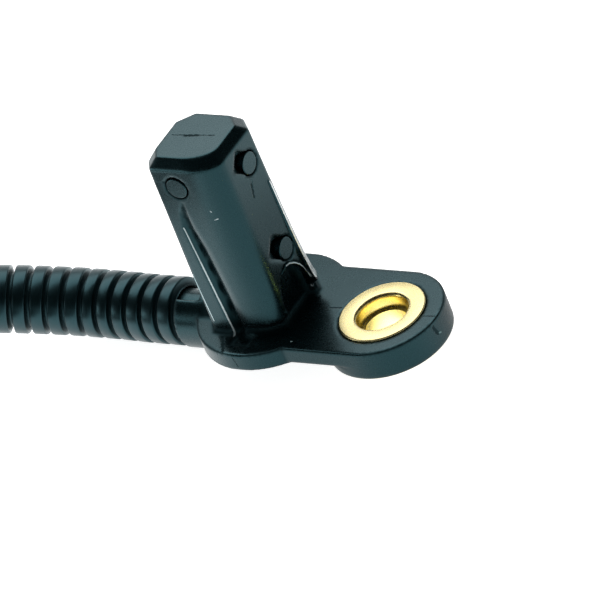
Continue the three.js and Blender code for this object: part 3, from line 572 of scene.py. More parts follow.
@dataclass(frozen=True)
class TurnedMetal(Finish):
    """Turned or plated metal with fine tool marks round an upright line, and a paler colour painted near that
    line as painted light.
    """

    line: tuple[float, float] = (HOLE_X, 0.0)
    ring_scale: float = 5200.0
    mark_height: float = 0.004
    # A paler colour within a radius of the line, fading out: painted light in the bush's bore
    core: Tone = (200, 200, 200)
    painted_bore_light_radius: float = 0.0
    painted_bore_light_fade: float = 0.2
    worn_lift: int = 14
    shade_middle: float = 0.5
    grain_dull: float = 0.1

    def material(self) -> bpy.types.Material:
        """Build the metal.

        Returns:
            The finished material.
        """
        material, board, shader = self.start()
        where = board.add("ShaderNodeTexCoord").outputs["Object"]
        middle = place(self.line[0], self.line[1], 0)
        moved = board.add("ShaderNodeMapping", Vector=where, Location=(-middle.x, -middle.y, 0.0))
        split = board.add("ShaderNodeSeparateXYZ", Vector=moved.outputs[0])
        flat = board.add("ShaderNodeCombineXYZ", X=split.outputs[0], Y=split.outputs[1])
        reach = board.vector("LENGTH", flat.outputs[0])
        rings = board.add("ShaderNodeCombineXYZ", X=reach, Z=split.outputs[2])
        marks = board.add("ShaderNodeTexNoise", Vector=rings.outputs[0], Scale=self.ring_scale, Detail=3.0,
                          Roughness=0.6)
        grain = self.group(board, SurfaceEffects.grain(), Fine_Scale=3000.0, Cloud_Scale=260.0,
                           Shade_Depth=0.4)
        wear = self.group(board, SurfaceEffects.edge_wear(), Amount=0.4)
        tone = board.math("ADD", grain.outputs["Shade"], self.shade_middle, clamp=True)
        base = board.mix(tone, colour(*self.deep), colour(*self.pale))
        bright = board.mix(wear.outputs["Mask"], base, colour(*lifted(self.pale, self.worn_lift)))
        # Paler colour painted near the line: painted light in the bore
        if self.painted_bore_light_radius:
            inside = board.span(reach, self.painted_bore_light_radius * MM, (self.painted_bore_light_radius + self.painted_bore_light_fade) * MM, 1.0, 0.0)
            bright = board.mix(inside, bright, colour(*self.core))
        board.feed(shader, "Base Color", bright)
        shader.inputs["Metallic"].default_value = 1.0
        rough = board.math("ADD", board.math("MULTIPLY", grain.outputs["Gloss"], self.grain_dull),
                           self.roughness, clamp=True)
        board.feed(shader, "Roughness", rough)
        bump = board.add("ShaderNodeBump", Strength=0.6, Distance=self.mark_height * MM,
                         Height=marks.outputs[0])
        board.feed(shader, "Normal", bump.outputs[0])
        return material


FINISHES: dict[Slot, Finish] = {
    Slot.OVERMOULD: MouldedPlastic("overmould_black", (0, 4, 5), (3, 12, 14), 0.27, 0.7,
                                   (0.29, 0.8, 0.92), 0.01, marks=OVERMOULD_MARKS),
    Slot.CARRIER: MouldedPlastic("carrier_black", (1, 6, 7), (4, 15, 17), 0.27, 0.75,
                                 (0.29, 0.8, 0.92), 0.01),
    # The bush's bore is painted paler than its flange: painted light
    Slot.BRASS: TurnedMetal("bush_brass", (222, 202, 134), (242, 230, 180), 0.27, core=(255, 236, 150),
                            painted_bore_light_radius=3.9),
    Slot.CERAMIC: MouldedPlastic("chip_epoxy", (20, 21, 23), (34, 36, 38), 0.6),
    Slot.MAGNET: TurnedMetal("magnet_nickel", (120, 121, 124), (160, 161, 164), 0.3, (0.2, 0.0)),
    Slot.TINNED: TurnedMetal("tinned_strip", (168, 170, 172), (206, 208, 209), 0.28, (0.0, 0.0)),
    Slot.CORE: MouldedPlastic("core_insulation", (44, 60, 110), (62, 82, 138), 0.5),
    Slot.JACKET: MouldedPlastic("cable_jacket", (16, 17, 18), (30, 31, 33), 0.6),
    Slot.CONDUIT: MouldedPlastic("conduit_black", (0, 4, 5), (4, 13, 15), 0.34, 0.8, (0.33, 0.8, 0.92),
                                 grain_height=0.008, wear=0.05),
    Slot.TIE: MouldedPlastic("tie_nylon", (6, 10, 11), (16, 22, 23), 0.38, 0.55, (0.7, 0.95, 1.0)),
    Slot.PLUG: MouldedPlastic("plug_black", (6, 11, 12), (17, 24, 26), 0.36, 0.6, (0.6, 0.92, 1.0)),
    Slot.LOCK: MouldedPlastic("lock_purple", (96, 40, 110), (132, 62, 146), 0.42),
    Slot.SEAL: MouldedPlastic("seal_orange", (140, 62, 24), (176, 88, 38), 0.65),
}


class Dressing:
    """Hands out the finished materials, one for each slot."""

    made: dict[Slot, bpy.types.Material] = {}

    @classmethod
    def of(cls, slot: Slot) -> bpy.types.Material:
        """Give the slot's material, built on first use.

        Args:
            slot: The record's slot.

        Returns:
            The material.
        """
        if slot not in cls.made:
            cls.made[slot] = FINISHES[slot].material()
        return cls.made[slot]

    @classmethod
    def finish(cls, piece: bpy.types.Object, slot: Slot, *stands_for: str) -> bpy.types.Object:
        """Dress a new piece, fix it to the frame and report it.

        Args:
            piece: The piece.
            slot: Its slot.
            stands_for: The frame's nodes that it replaces.

        Returns:
            The same piece.
        """
        piece.data.materials.clear()
        piece.data.materials.append(cls.of(slot))
        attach(piece, ROOT)
        if stands_for:
            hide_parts(*stands_for)
        triangles = sum(len(face.vertices) - 2 for face in piece.data.polygons)
        log.info("%s: %d triangles", piece.name, triangles)
        return piece


class Shape:
    """Closed meshes in tower millimetres and what is done with them."""

    @staticmethod
    def mesh(name: str, points: Sequence[Sequence[float]], faces: Sequence[Sequence[int]]) -> bpy.types.Object:
        """Make an object of points in tower millimetres.

        Args:
            name: The object's name.
            points: Corners.
            faces: Corner numbers of each face.

        Returns:
            The object, with its faces turned outwards.
        """
        data = bpy.data.meshes.new(name)
        data.from_pydata([place(*point) for point in points], [], [list(face) for face in faces])
        grown = bmesh.new()
        grown.from_mesh(data)
        bmesh.ops.remove_doubles(grown, verts=grown.verts, dist=1e-7)
        bmesh.ops.recalc_face_normals(grown, faces=grown.faces)
        grown.to_mesh(data)
        grown.free()
        return linked(name, data)

    @classmethod
    def loft(cls, name: str, levels: Sequence[Sequence[Point]]) -> bpy.types.Object:
        """Skin closed rings of equal count and close both ends.

        Args:
            name: The object's name.
            levels: Rings of points.

        Returns:
            The closed solid.
        """
        count = len(levels[0])
        points = [point for ring in levels for point in ring]
        faces: list[list[int]] = []
        for row in range(len(levels) - 1):
            for column in range(count):
                a = row * count + column
                b = row * count + (column + 1) % count
                faces.append([a, b, b + count, a + count])
        faces.append(list(range(count))[::-1])
        faces.append([len(points) - count + number for number in range(count)])
        return cls.mesh(name, points, faces)

    @classmethod
    def upright(cls, name: str, outlines: Sequence[tuple[float, Outline]]) -> bpy.types.Object:
        """Skin level outlines.

        Args:
            name: The object's name.
            outlines: Heights with their outlines.

        Returns:
            The closed solid.
        """
        return cls.loft(name, [[(x, y, z) for x, y in outline] for z, outline in outlines])

    @classmethod
    def lathe(cls, name: str, profile: Sequence[tuple[float, float]], turn: Turn,
              segments: int = 96, ring: bool = False) -> bpy.types.Object:
        """Revolve a profile.

        Args:
            name: The object's name.
            profile: Pairs of radius and distance along the axis.
            turn: Turns across, up and along into a point.
            segments: Steps round the axis.
            ring: Whether the profile is closed on itself.

        Returns:
            The closed solid.
        """
        points: list[Point] = []
        for step in range(segments):
            angle = 2 * math.pi * step / segments
            for radius, along in profile:
                points.append(turn(radius * math.cos(angle), radius * math.sin(angle), along))
        count = len(profile)
        faces: list[list[int]] = []
        for step in range(segments):
            after = (step + 1) % segments
            for number in range(count if ring else count - 1):
                nxt = (number + 1) % count
                faces.append([step * count + number, step * count + nxt, after * count + nxt,
                              after * count + number])
        return cls.mesh(name, points, faces)

    @classmethod
    def block(cls, name: str, low: Point, high: Point) -> bpy.types.Object:
        """Make a block between two corners.

        Args:
            name: The object's name.
            low: The corner with the least of x, y and z.
            high: The opposite corner.

        Returns:
            The block.
        """
        (x0, y0, z0), (x1, y1, z1) = low, high
        outline = [(x0, y0), (x1, y0), (x1, y1), (x0, y1)]
        return cls.upright(name, [(z0, outline), (z1, outline)])

    @staticmethod
    def worked(name: str, base: bpy.types.Object,
               steps: Iterable[tuple[Cut, bpy.types.Object]]) -> bpy.types.Object:
        """Join and cut solids.

        Args:
            name: The result's name.
            base: The first solid.
            steps: What each further solid does, in order.

        Returns:
            A plain object of the result. The inputs are removed.
        """
        used = [base]
        for kind, tool in steps:
            change = base.modifiers.new(kind.name, "BOOLEAN")
            change.operation = kind.value
            change.solver = "MANIFOLD"
            change.object = tool
            used.append(tool)
        result = Shape.baked(name, base)
        for spent in used:
            bpy.data.objects.remove(spent, do_unlink=True)
        return result

    @staticmethod
    def baked(name: str, source: bpy.types.Object) -> bpy.types.Object:
        """Copy an object with its modifiers applied.

        Args:
            name: The copy's name.
            source: The object with modifiers.

        Returns:
            A plain mesh object.
        """
        view = bpy.context.evaluated_depsgraph_get()
        view.update()
        data = bpy.data.meshes.new_from_object(source.evaluated_get(view), depsgraph=view)
        data.name = name
        return linked(name, data)

    @staticmethod
    def copied(name: str, node_name: str) -> bpy.types.Object:
        """Copy one of the frame's nodes.

        Args:
            name: The copy's name.
            node_name: The node.

        Returns:
            The copy, where the node is.
        """
        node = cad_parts[node_name]
        made = linked(name, node.data.copy())
        made.matrix_world = node.matrix_world
        return made

    @staticmethod
    def moulded(name: str, source: bpy.types.Object, voxel: float, rounds: int = 4) -> bpy.types.Object:
        """Round a solid's edges as a mould does.

        Args:
            name: The result's name.
            source: The sharp solid, which is removed.
            voxel: Size of the cells in millimetres.
            rounds: Smoothing passes.

        Returns:
            The rounded solid with its edges marked for wear.
        """
        remesh = source.modifiers.new("cells", "REMESH")
        remesh.mode = "VOXEL"
        remesh.voxel_size = voxel * MM
        remesh.use_smooth_shade = True
        smooth = source.modifiers.new("smooth", "SMOOTH")
        smooth.factor = 0.5
        smooth.iterations = rounds
        made = Shape.baked(name, source)
        bpy.data.objects.remove(source, do_unlink=True)
        Shape.mark_edges(made)
        return made

    @staticmethod
    def added(piece: bpy.types.Object, *extras: bpy.types.Object) -> bpy.types.Object:
        """Take further closed shells into a piece's mesh.

        Args:
            piece: The piece.
            extras: Objects whose meshes go in. They are removed.

        Returns:
            The piece.
        """
        work = bmesh.new()
        work.from_mesh(piece.data)
        for extra in extras:
            work.from_mesh(extra.data)
            bpy.data.objects.remove(extra, do_unlink=True)
        work.to_mesh(piece.data)
        work.free()
        return piece

    @staticmethod
    def mark_edges(piece: bpy.types.Object, spread: int = 1, strength: float = 2.2) -> None:
        """Write how convex and how hollow the surface is at each corner into attributes.

        Args:
            piece: The piece.
            spread: Passes that widen the marks.
            strength: Turns a bend between faces into a mark.
        """
        work = bmesh.new()
        work.from_mesh(piece.data)
        for name, sign in (("edge", 1.0), ("hollow", -1.0)):
            bends = [0.0] * len(work.verts)
            for edge in work.edges:
                if len(edge.link_faces) == 2:
                    bend = max(0.0, sign * edge.calc_face_angle_signed(0.0))
                    for corner in edge.verts:
                        bends[corner.index] = max(bends[corner.index], bend)
            for _ in range(spread):
                wider = list(bends)
                for edge in work.edges:
                    a, b = edge.verts
                    wider[a.index] = max(wider[a.index], bends[b.index] * 0.6)
                    wider[b.index] = max(wider[b.index], bends[a.index] * 0.6)
                bends = wider
            layer = piece.data.attributes.new(name, "FLOAT", "POINT")
            layer.data.foreach_set("value", [min(1.0, bend * strength) for bend in bends])
        work.free()


def along_x(y: float, z: float) -> Turn:
    """Turn lathe points so that their axis runs along X through y and z.

    Args:
        y: Where the axis lies across.
        z: Its height.

    Returns:
        What turns the points.
    """
    return lambda across, up, along: (along, y + across, z + up)


def along_y(x: float, z: float) -> Turn:
    """Turn lathe points so that their axis runs along Y through x and z.

    Args:
        x: Where the axis lies.
        z: Its height.

    Returns:
        What turns the points.
    """
    return lambda across, up, along: (x + across, along, z + up)


def along_z(x: float, y: float) -> Turn:
    """Turn lathe points so that their axis runs upright through x and y.

    Args:
        x: Where the axis stands.
        y: Where it stands across.

    Returns:
        What turns the points.
    """
    return lambda across, up, along: (x + across, y + up, along)


def bar(name: str, radius: float, start: float, end: float, turn: Turn,
        segments: int = 96) -> bpy.types.Object:
    """Make a round bar between two places on its axis.

    Args:
        name: The object's name.
        radius: Its radius.
        start: Where it starts on the axis.
        end: Where it ends.
        turn: Turns its points into place.
        segments: Steps round the axis.

    Returns:
        The closed solid.
    """
    return Shape.lathe(name, [(0, start), (radius, start), (radius, end), (0, end)], turn, segments)


@dataclass(frozen=True)
class Lamp:
    """A soft lamp: which way it lies from the sensor, metres off, width and height, and watts."""

    name: str
    direction: Point
    distance: float
    size: tuple[float, float]
    power: float


@dataclass
class Studio:
    """Camera, floor, world and lamps."""

    # The camera's axes and where it looks, in tower millimetres
    aim: Point = (0.0, 0.0, SEAT_Z)
    right: Point = (0.81927, 0.47324, -0.32379)
    up: Point = (-0.06612, 0.63887, 0.76647)
    to_viewer: Point = (0.56958, -0.60653, 0.55470)
    shift_right: float = 3.895
    shift_up: float = 0.4935
    view_width: float = 85.48
    lens: float = 500.0
    sensor: float = 36.0
    # Strength of the world's light, and how its reflection darkens with height
    ambient: float = 0.3
    dark_from: float = 0.3
    dark_gloss: float = 0.02
    # The floor's size in metres, and how bright its parts are in reflections, from and to in millimetres: a
    # painted shadow round a centre beside the sensor, painted light towards the left, and a painted pool of light
    # under the bush's hole
    floor_size: float = 3.0
    painted_shadow_centre: Point = (25.0, 21.0, 0.0)
    painted_shadow_from: float = 8.0
    painted_shadow_to: float = 27.0
    painted_shadow_gloss: float = 0.03
    floor_gloss: float = 0.7
    painted_left_light_gloss: float = 1.2
    painted_light_pool_gloss: float = 5.0
    painted_light_pool_from: float = 3.0
    painted_light_pool_to: float = 5.0
    floor_tone: float = 0.93
    floor_rough: float = 0.9
    floor_shown: float = 0.9
    left_edge: float = -36.0
    left_end: float = 0.0
    lit_point: Point = (4.0, 0.0, 16.0)
    lamps: tuple[Lamp, ...] = (
        Lamp("back_left", (-0.424, 0.386, 0.819), 0.2, (0.26, 0.17), 0.31),
        Lamp("back_low", (-0.57, 0.76, 0.27), 0.45, (0.35, 0.14), 0.16),
        Lamp("front_left", (-0.9, -0.75, 0.12), 0.5, (0.2, 0.2), 0.3),
    )

    def camera(self) -> None:
        """Set the camera at the photograph's view."""
        data = bpy.data.cameras.new("camera")
        data.lens = self.lens
        data.sensor_width = self.sensor
        data.clip_start = 0.01
        data.clip_end = 20.0
        camera = linked("camera", data)
        right, up, back = (Vector(v).normalized() for v in (self.right, self.up, self.to_viewer))
        centre = place(*self.aim) + (right * self.shift_right + up * self.shift_up) * MM
        distance = self.view_width * MM * self.lens / self.sensor
        turned = Matrix((right, up, back)).transposed().to_4x4()
        camera.matrix_world = Matrix.Translation(centre + back * distance) @ turned
        bpy.context.scene.camera = camera

    def hang(self, lamp: Lamp) -> None:
        """Add a lamp that looks at the sensor.

        Args:
            lamp: The lamp.
        """
        data = bpy.data.lights.new(lamp.name, "AREA")
        data.shape = "RECTANGLE"
        data.size, data.size_y = lamp.size
        data.energy = lamp.power
        made = linked(lamp.name, data)
        away = Vector(lamp.direction).normalized()
        made.location = place(*self.lit_point) + away * lamp.distance
        made.rotation_euler = away.to_track_quat("Z", "Y").to_euler()

    def world(self) -> None:
        """Show white to the eye and in gloss, and light softly otherwise."""
        world = bpy.data.worlds.new("studio")
        board = Board.cleared(world)
        path = board.add("ShaderNodeLightPath")
        shown = board.math("ADD", path.outputs["Is Camera Ray"], path.outputs["Is Transmission Ray"],
                           clamp=True)
        facing = board.add("ShaderNodeTexCoord").outputs["Generated"]
        height = board.add("ShaderNodeSeparateXYZ", Vector=facing).outputs["Z"]
        horizon = board.span(height, 0.0, self.dark_from, 1.0, self.dark_gloss)
        gloss = board.math("MULTIPLY", path.outputs["Is Glossy Ray"], horizon)
        seen = board.math("ADD", shown, gloss, clamp=True)
        other = board.math("SUBTRACT", 1.0, board.math("ADD", shown, path.outputs["Is Glossy Ray"], clamp=True))
        strength = board.math("ADD", seen, board.math("MULTIPLY", other, self.ambient))
        back = board.add("ShaderNodeBackground", Color=(1.0, 1.0, 1.0, 1.0), Strength=strength)
        board.add("ShaderNodeOutputWorld", Surface=back.outputs[0])
        bpy.context.scene.world = world

    def floor(self) -> None:
        """Lay the pale floor, evenly white to the eye, whose glow in reflections carries a painted shadow,
        painted light towards the left and a painted pool of light under the bush's hole.
        """
        half = self.floor_size / 2
        data = bpy.data.meshes.new("floor")
        data.from_pydata([(-half, -half, 0), (half, -half, 0), (half, half, 0), (-half, half, 0)], [],
                         [(0, 1, 2, 3)])
        made = linked("floor", data)
        material = bpy.data.materials.new("floor_white")
        board = Board.cleared(material)
        body = board.add("ShaderNodeBsdfPrincipled", Base_Color=(*[self.floor_tone] * 3, 1.0),
                         Roughness=self.floor_rough)
        path = board.add("ShaderNodeLightPath")
        where = board.add("ShaderNodeTexCoord").outputs["Object"]
        # Painted shadow in reflections round a centre beside the sensor, painted light towards the left, and a
        # painted pool of light under the bush's hole
        reach = board.vector("DISTANCE", where, place(*self.painted_shadow_centre))
        near = board.span(reach, self.painted_shadow_from * MM, self.painted_shadow_to * MM, self.painted_shadow_gloss, 1.0)
        across = board.add("ShaderNodeSeparateXYZ", Vector=where).outputs["X"]
        left = board.span(across, self.left_edge * MM, self.left_end * MM, self.painted_left_light_gloss, self.floor_gloss)
        beneath = board.vector("DISTANCE", where, place(HOLE_X, 0, 0))
        painted_pool_strength = board.span(beneath, self.painted_light_pool_from * MM, self.painted_light_pool_to * MM, self.painted_light_pool_gloss, 1.0)
        painted_gloss_light = board.math("MULTIPLY", board.math("MULTIPLY", near, left), painted_pool_strength)
        kept = board.math("MULTIPLY", path.outputs["Is Camera Ray"], self.floor_shown)
        glow_strength = board.math("ADD", kept, board.math("MULTIPLY", path.outputs["Is Glossy Ray"], painted_gloss_light))
        glow = board.add("ShaderNodeEmission", Color=(1.0, 1.0, 1.0, 1.0), Strength=glow_strength)
        seen = board.math("ADD", path.outputs["Is Camera Ray"], path.outputs["Is Glossy Ray"], clamp=True)
        mixed = board.add("ShaderNodeMixShader")
        plus = board.add("ShaderNodeAddShader")
        board.feed(plus, 0, body.outputs[0])
        board.feed(plus, 1, glow.outputs[0])
        board.feed(mixed, 0, seen)
        board.feed(mixed, 1, body.outputs[0])
        board.feed(mixed, 2, plus.outputs[0])
        board.add("ShaderNodeOutputMaterial", Surface=mixed.outputs[0])
        data.materials.append(material)

    def build(self) -> None:
        """Set everything up."""
        bpy.context.scene.view_settings.view_transform = "Standard"
        self.camera()
        self.floor()
        self.world()
        for lamp in self.lamps:
            self.hang(lamp)


@dataclass
class Conduit:
    """The corrugated conduit from the sensor through its coil to the plug."""

    # Diameters over crests and valleys, length of one ring, points round it, and the bore of the open end
    diameter: float = 10.0
    valley: float = 7.7
    pitch: float = 2.83
    sides: int = 36
    bore: float = 7.4
    bore_depth: float = 10.0
    end_wall: float = 0.2
    # One ring: share of its length, and rise from valley to crest
    rings: tuple[tuple[float, float], ...] = (
        (0.0, 0.0), (0.11, 0.03), (0.135, 0.72), (0.165, 0.96), (0.23, 1.0), (0.5, 1.0), (0.77, 1.0),
        (0.835, 0.96), (0.865, 0.72), (0.89, 0.03),
    )
    # The way from the outlet to the coil, the coil, and the way from the coil to the plug
    lead: tuple[Point, ...] = (
        (-15.65, 0, 5), (-18.5, 0, 5), (-22, 0, 5), (-26, -0.1, 5.2), (-30, -0.5, 5.6),
        (-34, -1.4, 6.4), (-38, -2.6, 7.3), (-42, -4.1, 8.4), (-46, -5.9, 9.6), (-50, -7.8, 10.7),
        (-54.5, -10, 12), (-59, -12.1, 13.1),
        (-62.5, -13.8, 13.9), (-65.7, -15.3, 14.6), (-73.2, -18.5, 15.6), (-80.5, -21.6, 16.0),
        (-87.9, -24.7, 16.1),
    )
    tail: tuple[Point, ...] = (
        (-62, -123.8, 6.1), (-54, -123.8, 6.2), (-47.5, -123.8, 6.45), (-43.5, -123.8, 6.7),
        (-40, -123.8, 7.1), (-36, -123.8, 7.4), (-32, -123.8, 7.5), (-27, -123.8, 7.5),
    )
    coil_centre: tuple[float, float] = (-75.7, -73.8)
    coil_radius: float = 50.0
    coil_start: float = 113.0
    coil_end: float = 630.0
    coil_step: float = 15.0
    high: float = 16.1
    low: float = 6.1
    drop_from: float = 270.0
    drop_to: float = 400.0
    piece: Optional[bpy.types.Object] = None

    def coil(self) -> list[Point]:
        """Points on the coiled turns.

        Returns:
            The points from the lead's end to the tail's start.
        """
        points: list[Point] = []
        count = round((self.coil_end - self.coil_start) / self.coil_step)
        for number in range(count + 1):
            degrees = self.coil_start + (self.coil_end - self.coil_start) * number / count
            share = min(1.0, max(0.0, (degrees - self.drop_from) / (self.drop_to - self.drop_from)))
            eased = share * share * (3 - 2 * share)
            angle = math.radians(degrees)
            points.append((self.coil_centre[0] + self.coil_radius * math.cos(angle),
                           self.coil_centre[1] + self.coil_radius * math.sin(angle),
                           self.high + (self.low - self.high) * eased))
        return points

    def route(self) -> list[Vector]:
        """The whole route in frame metres.

        Returns:
            The points from the outlet to the plug.
        """
        return [place(*point) for point in (*self.lead, *self.coil(), *self.tail)]

    @staticmethod
    def smooth(points: Sequence[Vector], parts: int = 10) -> list[Vector]:
        """Run a smooth line through points.

        Args:
            points: The points that it passes.
            parts: Steps from each point to the next.

        Returns:
            The points of the smooth line.
        """
        line: list[Vector] = []
        padded = [points[0] * 2 - points[1], *points, points[-1] * 2 - points[-2]]
        for number in range(1, len(padded) - 2):
            a, b, c, d = padded[number - 1:number + 3]
            for part in range(parts):
                t = part / parts
                line.append(0.5 * (2 * b + (c - a) * t + (2 * a - 5 * b + 4 * c - d) * t * t
                                   + (3 * b - a - 3 * c + d) * t ** 3))
        line.append(points[-1])
        return line

    def tree(self) -> bpy.types.NodeTree:
        """Geometry nodes that turn a line into a corrugated tube.

        Returns:
            The node tree.
        """
        tree = bpy.data.node_groups.new("corrugated_tube", "GeometryNodeTree")
        tree.interface.new_socket("Line", in_out="INPUT", socket_type="NodeSocketGeometry")
        for name in ("Pitch", "Crest Radius", "Valley Radius"):
            tree.interface.new_socket(name, in_out="INPUT", socket_type="NodeSocketFloat")
        tree.interface.new_socket("Sides", in_out="INPUT", socket_type="NodeSocketInt")
        tree.interface.new_socket("Finish", in_out="INPUT", socket_type="NodeSocketMaterial")
        tree.interface.new_socket("Tube", in_out="OUTPUT", socket_type="NodeSocketGeometry")
        board = Board(tree)
        source = board.add("NodeGroupInput").outputs
        steps = float(len(self.rings))
        even = board.add("GeometryNodeResampleCurve", {"mode": "LENGTH"}, Curve=source["Line"])
        board.feed(even, "Length", board.math("DIVIDE", source["Pitch"], steps))
        index = board.add("GeometryNodeInputIndex").outputs[0]
        place_in_ring = board.math("DIVIDE", board.math("MODULO", index, steps), steps)
        wanted = self.table(board, place_in_ring, [along for along, _ in self.rings])
        slide = board.math("MULTIPLY", board.math("SUBTRACT", wanted, place_in_ring), source["Pitch"])
        heading = board.add("GeometryNodeInputTangent").outputs[0]
        shift = board.vector("SCALE", heading, Scale=slide)
        spaced = board.add("GeometryNodeSetPosition", Geometry=even.outputs[0], Offset=shift)
        share = self.table(board, place_in_ring, [rise for _, rise in self.rings])
        rise = board.math("SUBTRACT", source["Crest Radius"], source["Valley Radius"])
        kept = board.add("GeometryNodeCaptureAttribute", Geometry=spaced.outputs[0])
        kept.capture_items.new("FLOAT", "radius")
        board.feed(kept, 1, board.math("ADD", source["Valley Radius"], board.math("MULTIPLY", rise, share)))
        ring = board.add("GeometryNodeCurvePrimitiveCircle", Resolution=source["Sides"], Radius=1.0)
        skin = board.add("GeometryNodeCurveToMesh", Curve=kept.outputs[0], Profile_Curve=ring.outputs[0],
                         Scale=kept.outputs[1], Fill_Caps=True)
        soft = board.add("GeometryNodeSetShadeSmooth", Geometry=skin.outputs[0])
        real = board.add("GeometryNodeRealizeInstances", Geometry=soft.outputs[0])
        dressed = board.add("GeometryNodeSetMaterial", Geometry=real.outputs[0], Material=source["Finish"])
        board.add("NodeGroupOutput", Tube=dressed.outputs[0])
        return tree

    @staticmethod
    def table(board: Board, key: bpy.types.NodeSocket, values: Sequence[float]) -> bpy.types.NodeSocket:
        """Look a value up that is listed for even steps from 0 to 1.

        Args:
            board: The tree's board.
            key: Where to look, from 0 to 1.
            values: The list, one entry for each step.

        Returns:
            The value's socket.
        """
        node = board.add("ShaderNodeFloatCurve", Value=key)
        curve = node.mapping.curves[0]
        for _ in range(len(values) - len(curve.points)):
            curve.points.new(0.5, 0.5)
        for number, value in enumerate(values):
            curve.points[number].location = (number / len(values), value)
            curve.points[number].handle_type = "VECTOR"
        node.mapping.update()
        return node.outputs[0]

    def build(self, far_end: list[bpy.types.Object]) -> None:
        """Args:
            far_end: The pieces that go where the conduit's far end goes. It is not used.
        """
        route = self.route()
        line = self.smooth(route)
        data = bpy.data.curves.new("conduit_line", "CURVE")
        data.dimensions = "3D"
        spline = data.splines.new("POLY")
        spline.points.add(len(line) - 1)
        for point, where in zip(spline.points, line):
            point.co = (*where, 1.0)
        holder = linked("conduit_line", data)
        tree = self.tree()
        change = holder.modifiers.new("rings", "NODES")
        change.node_group = tree
        values = {
            "Pitch": self.pitch * MM,
            "Crest Radius": self.diameter / 2 * MM,
            "Valley Radius": self.valley / 2 * MM,
            "Sides": self.sides,
            "Finish": Dressing.of(Slot.CONDUIT),
        }
        for item in tree.interface.items_tree:
            if item.in_out == "INPUT" and item.name in values:
                change[item.identifier] = values[item.name]
        self.piece = Shape.baked("conduit", holder)
        bpy.data.objects.remove(holder, do_unlink=True)
        self.open_end()
        Shape.mark_edges(self.piece, 0, 0.6)
        Dressing.finish(self.piece, Slot.CONDUIT, "conduit_lead", "conduit_coil", "conduit_tail")

    def open_end(self) -> None:
        """Bore the first end so that the spigot shows inside it."""
        work = bmesh.new()
        work.from_mesh(self.piece.data)
        start = place(*self.lead[0])
        caps = [face for face in work.faces if len(face.verts) > 4]
        cap = min(caps, key=lambda face: (face.calc_center_median() - start).length)
        bmesh.ops.inset_individual(work, faces=[cap], thickness=self.end_wall * MM, use_even_offset=True)
        for corner in cap.verts:
            across = corner.co - start
            across.x = 0
            corner.co = start + across.normalized() * (self.bore / 2 * MM)
        sunk = bmesh.ops.extrude_discrete_faces(work, faces=[cap])["faces"][0]
        for corner in sunk.verts:
            corner.co.x -= self.bore_depth * MM
        bmesh.ops.recalc_face_normals(work, faces=work.faces)
        work.to_mesh(self.piece.data)
        work.free()


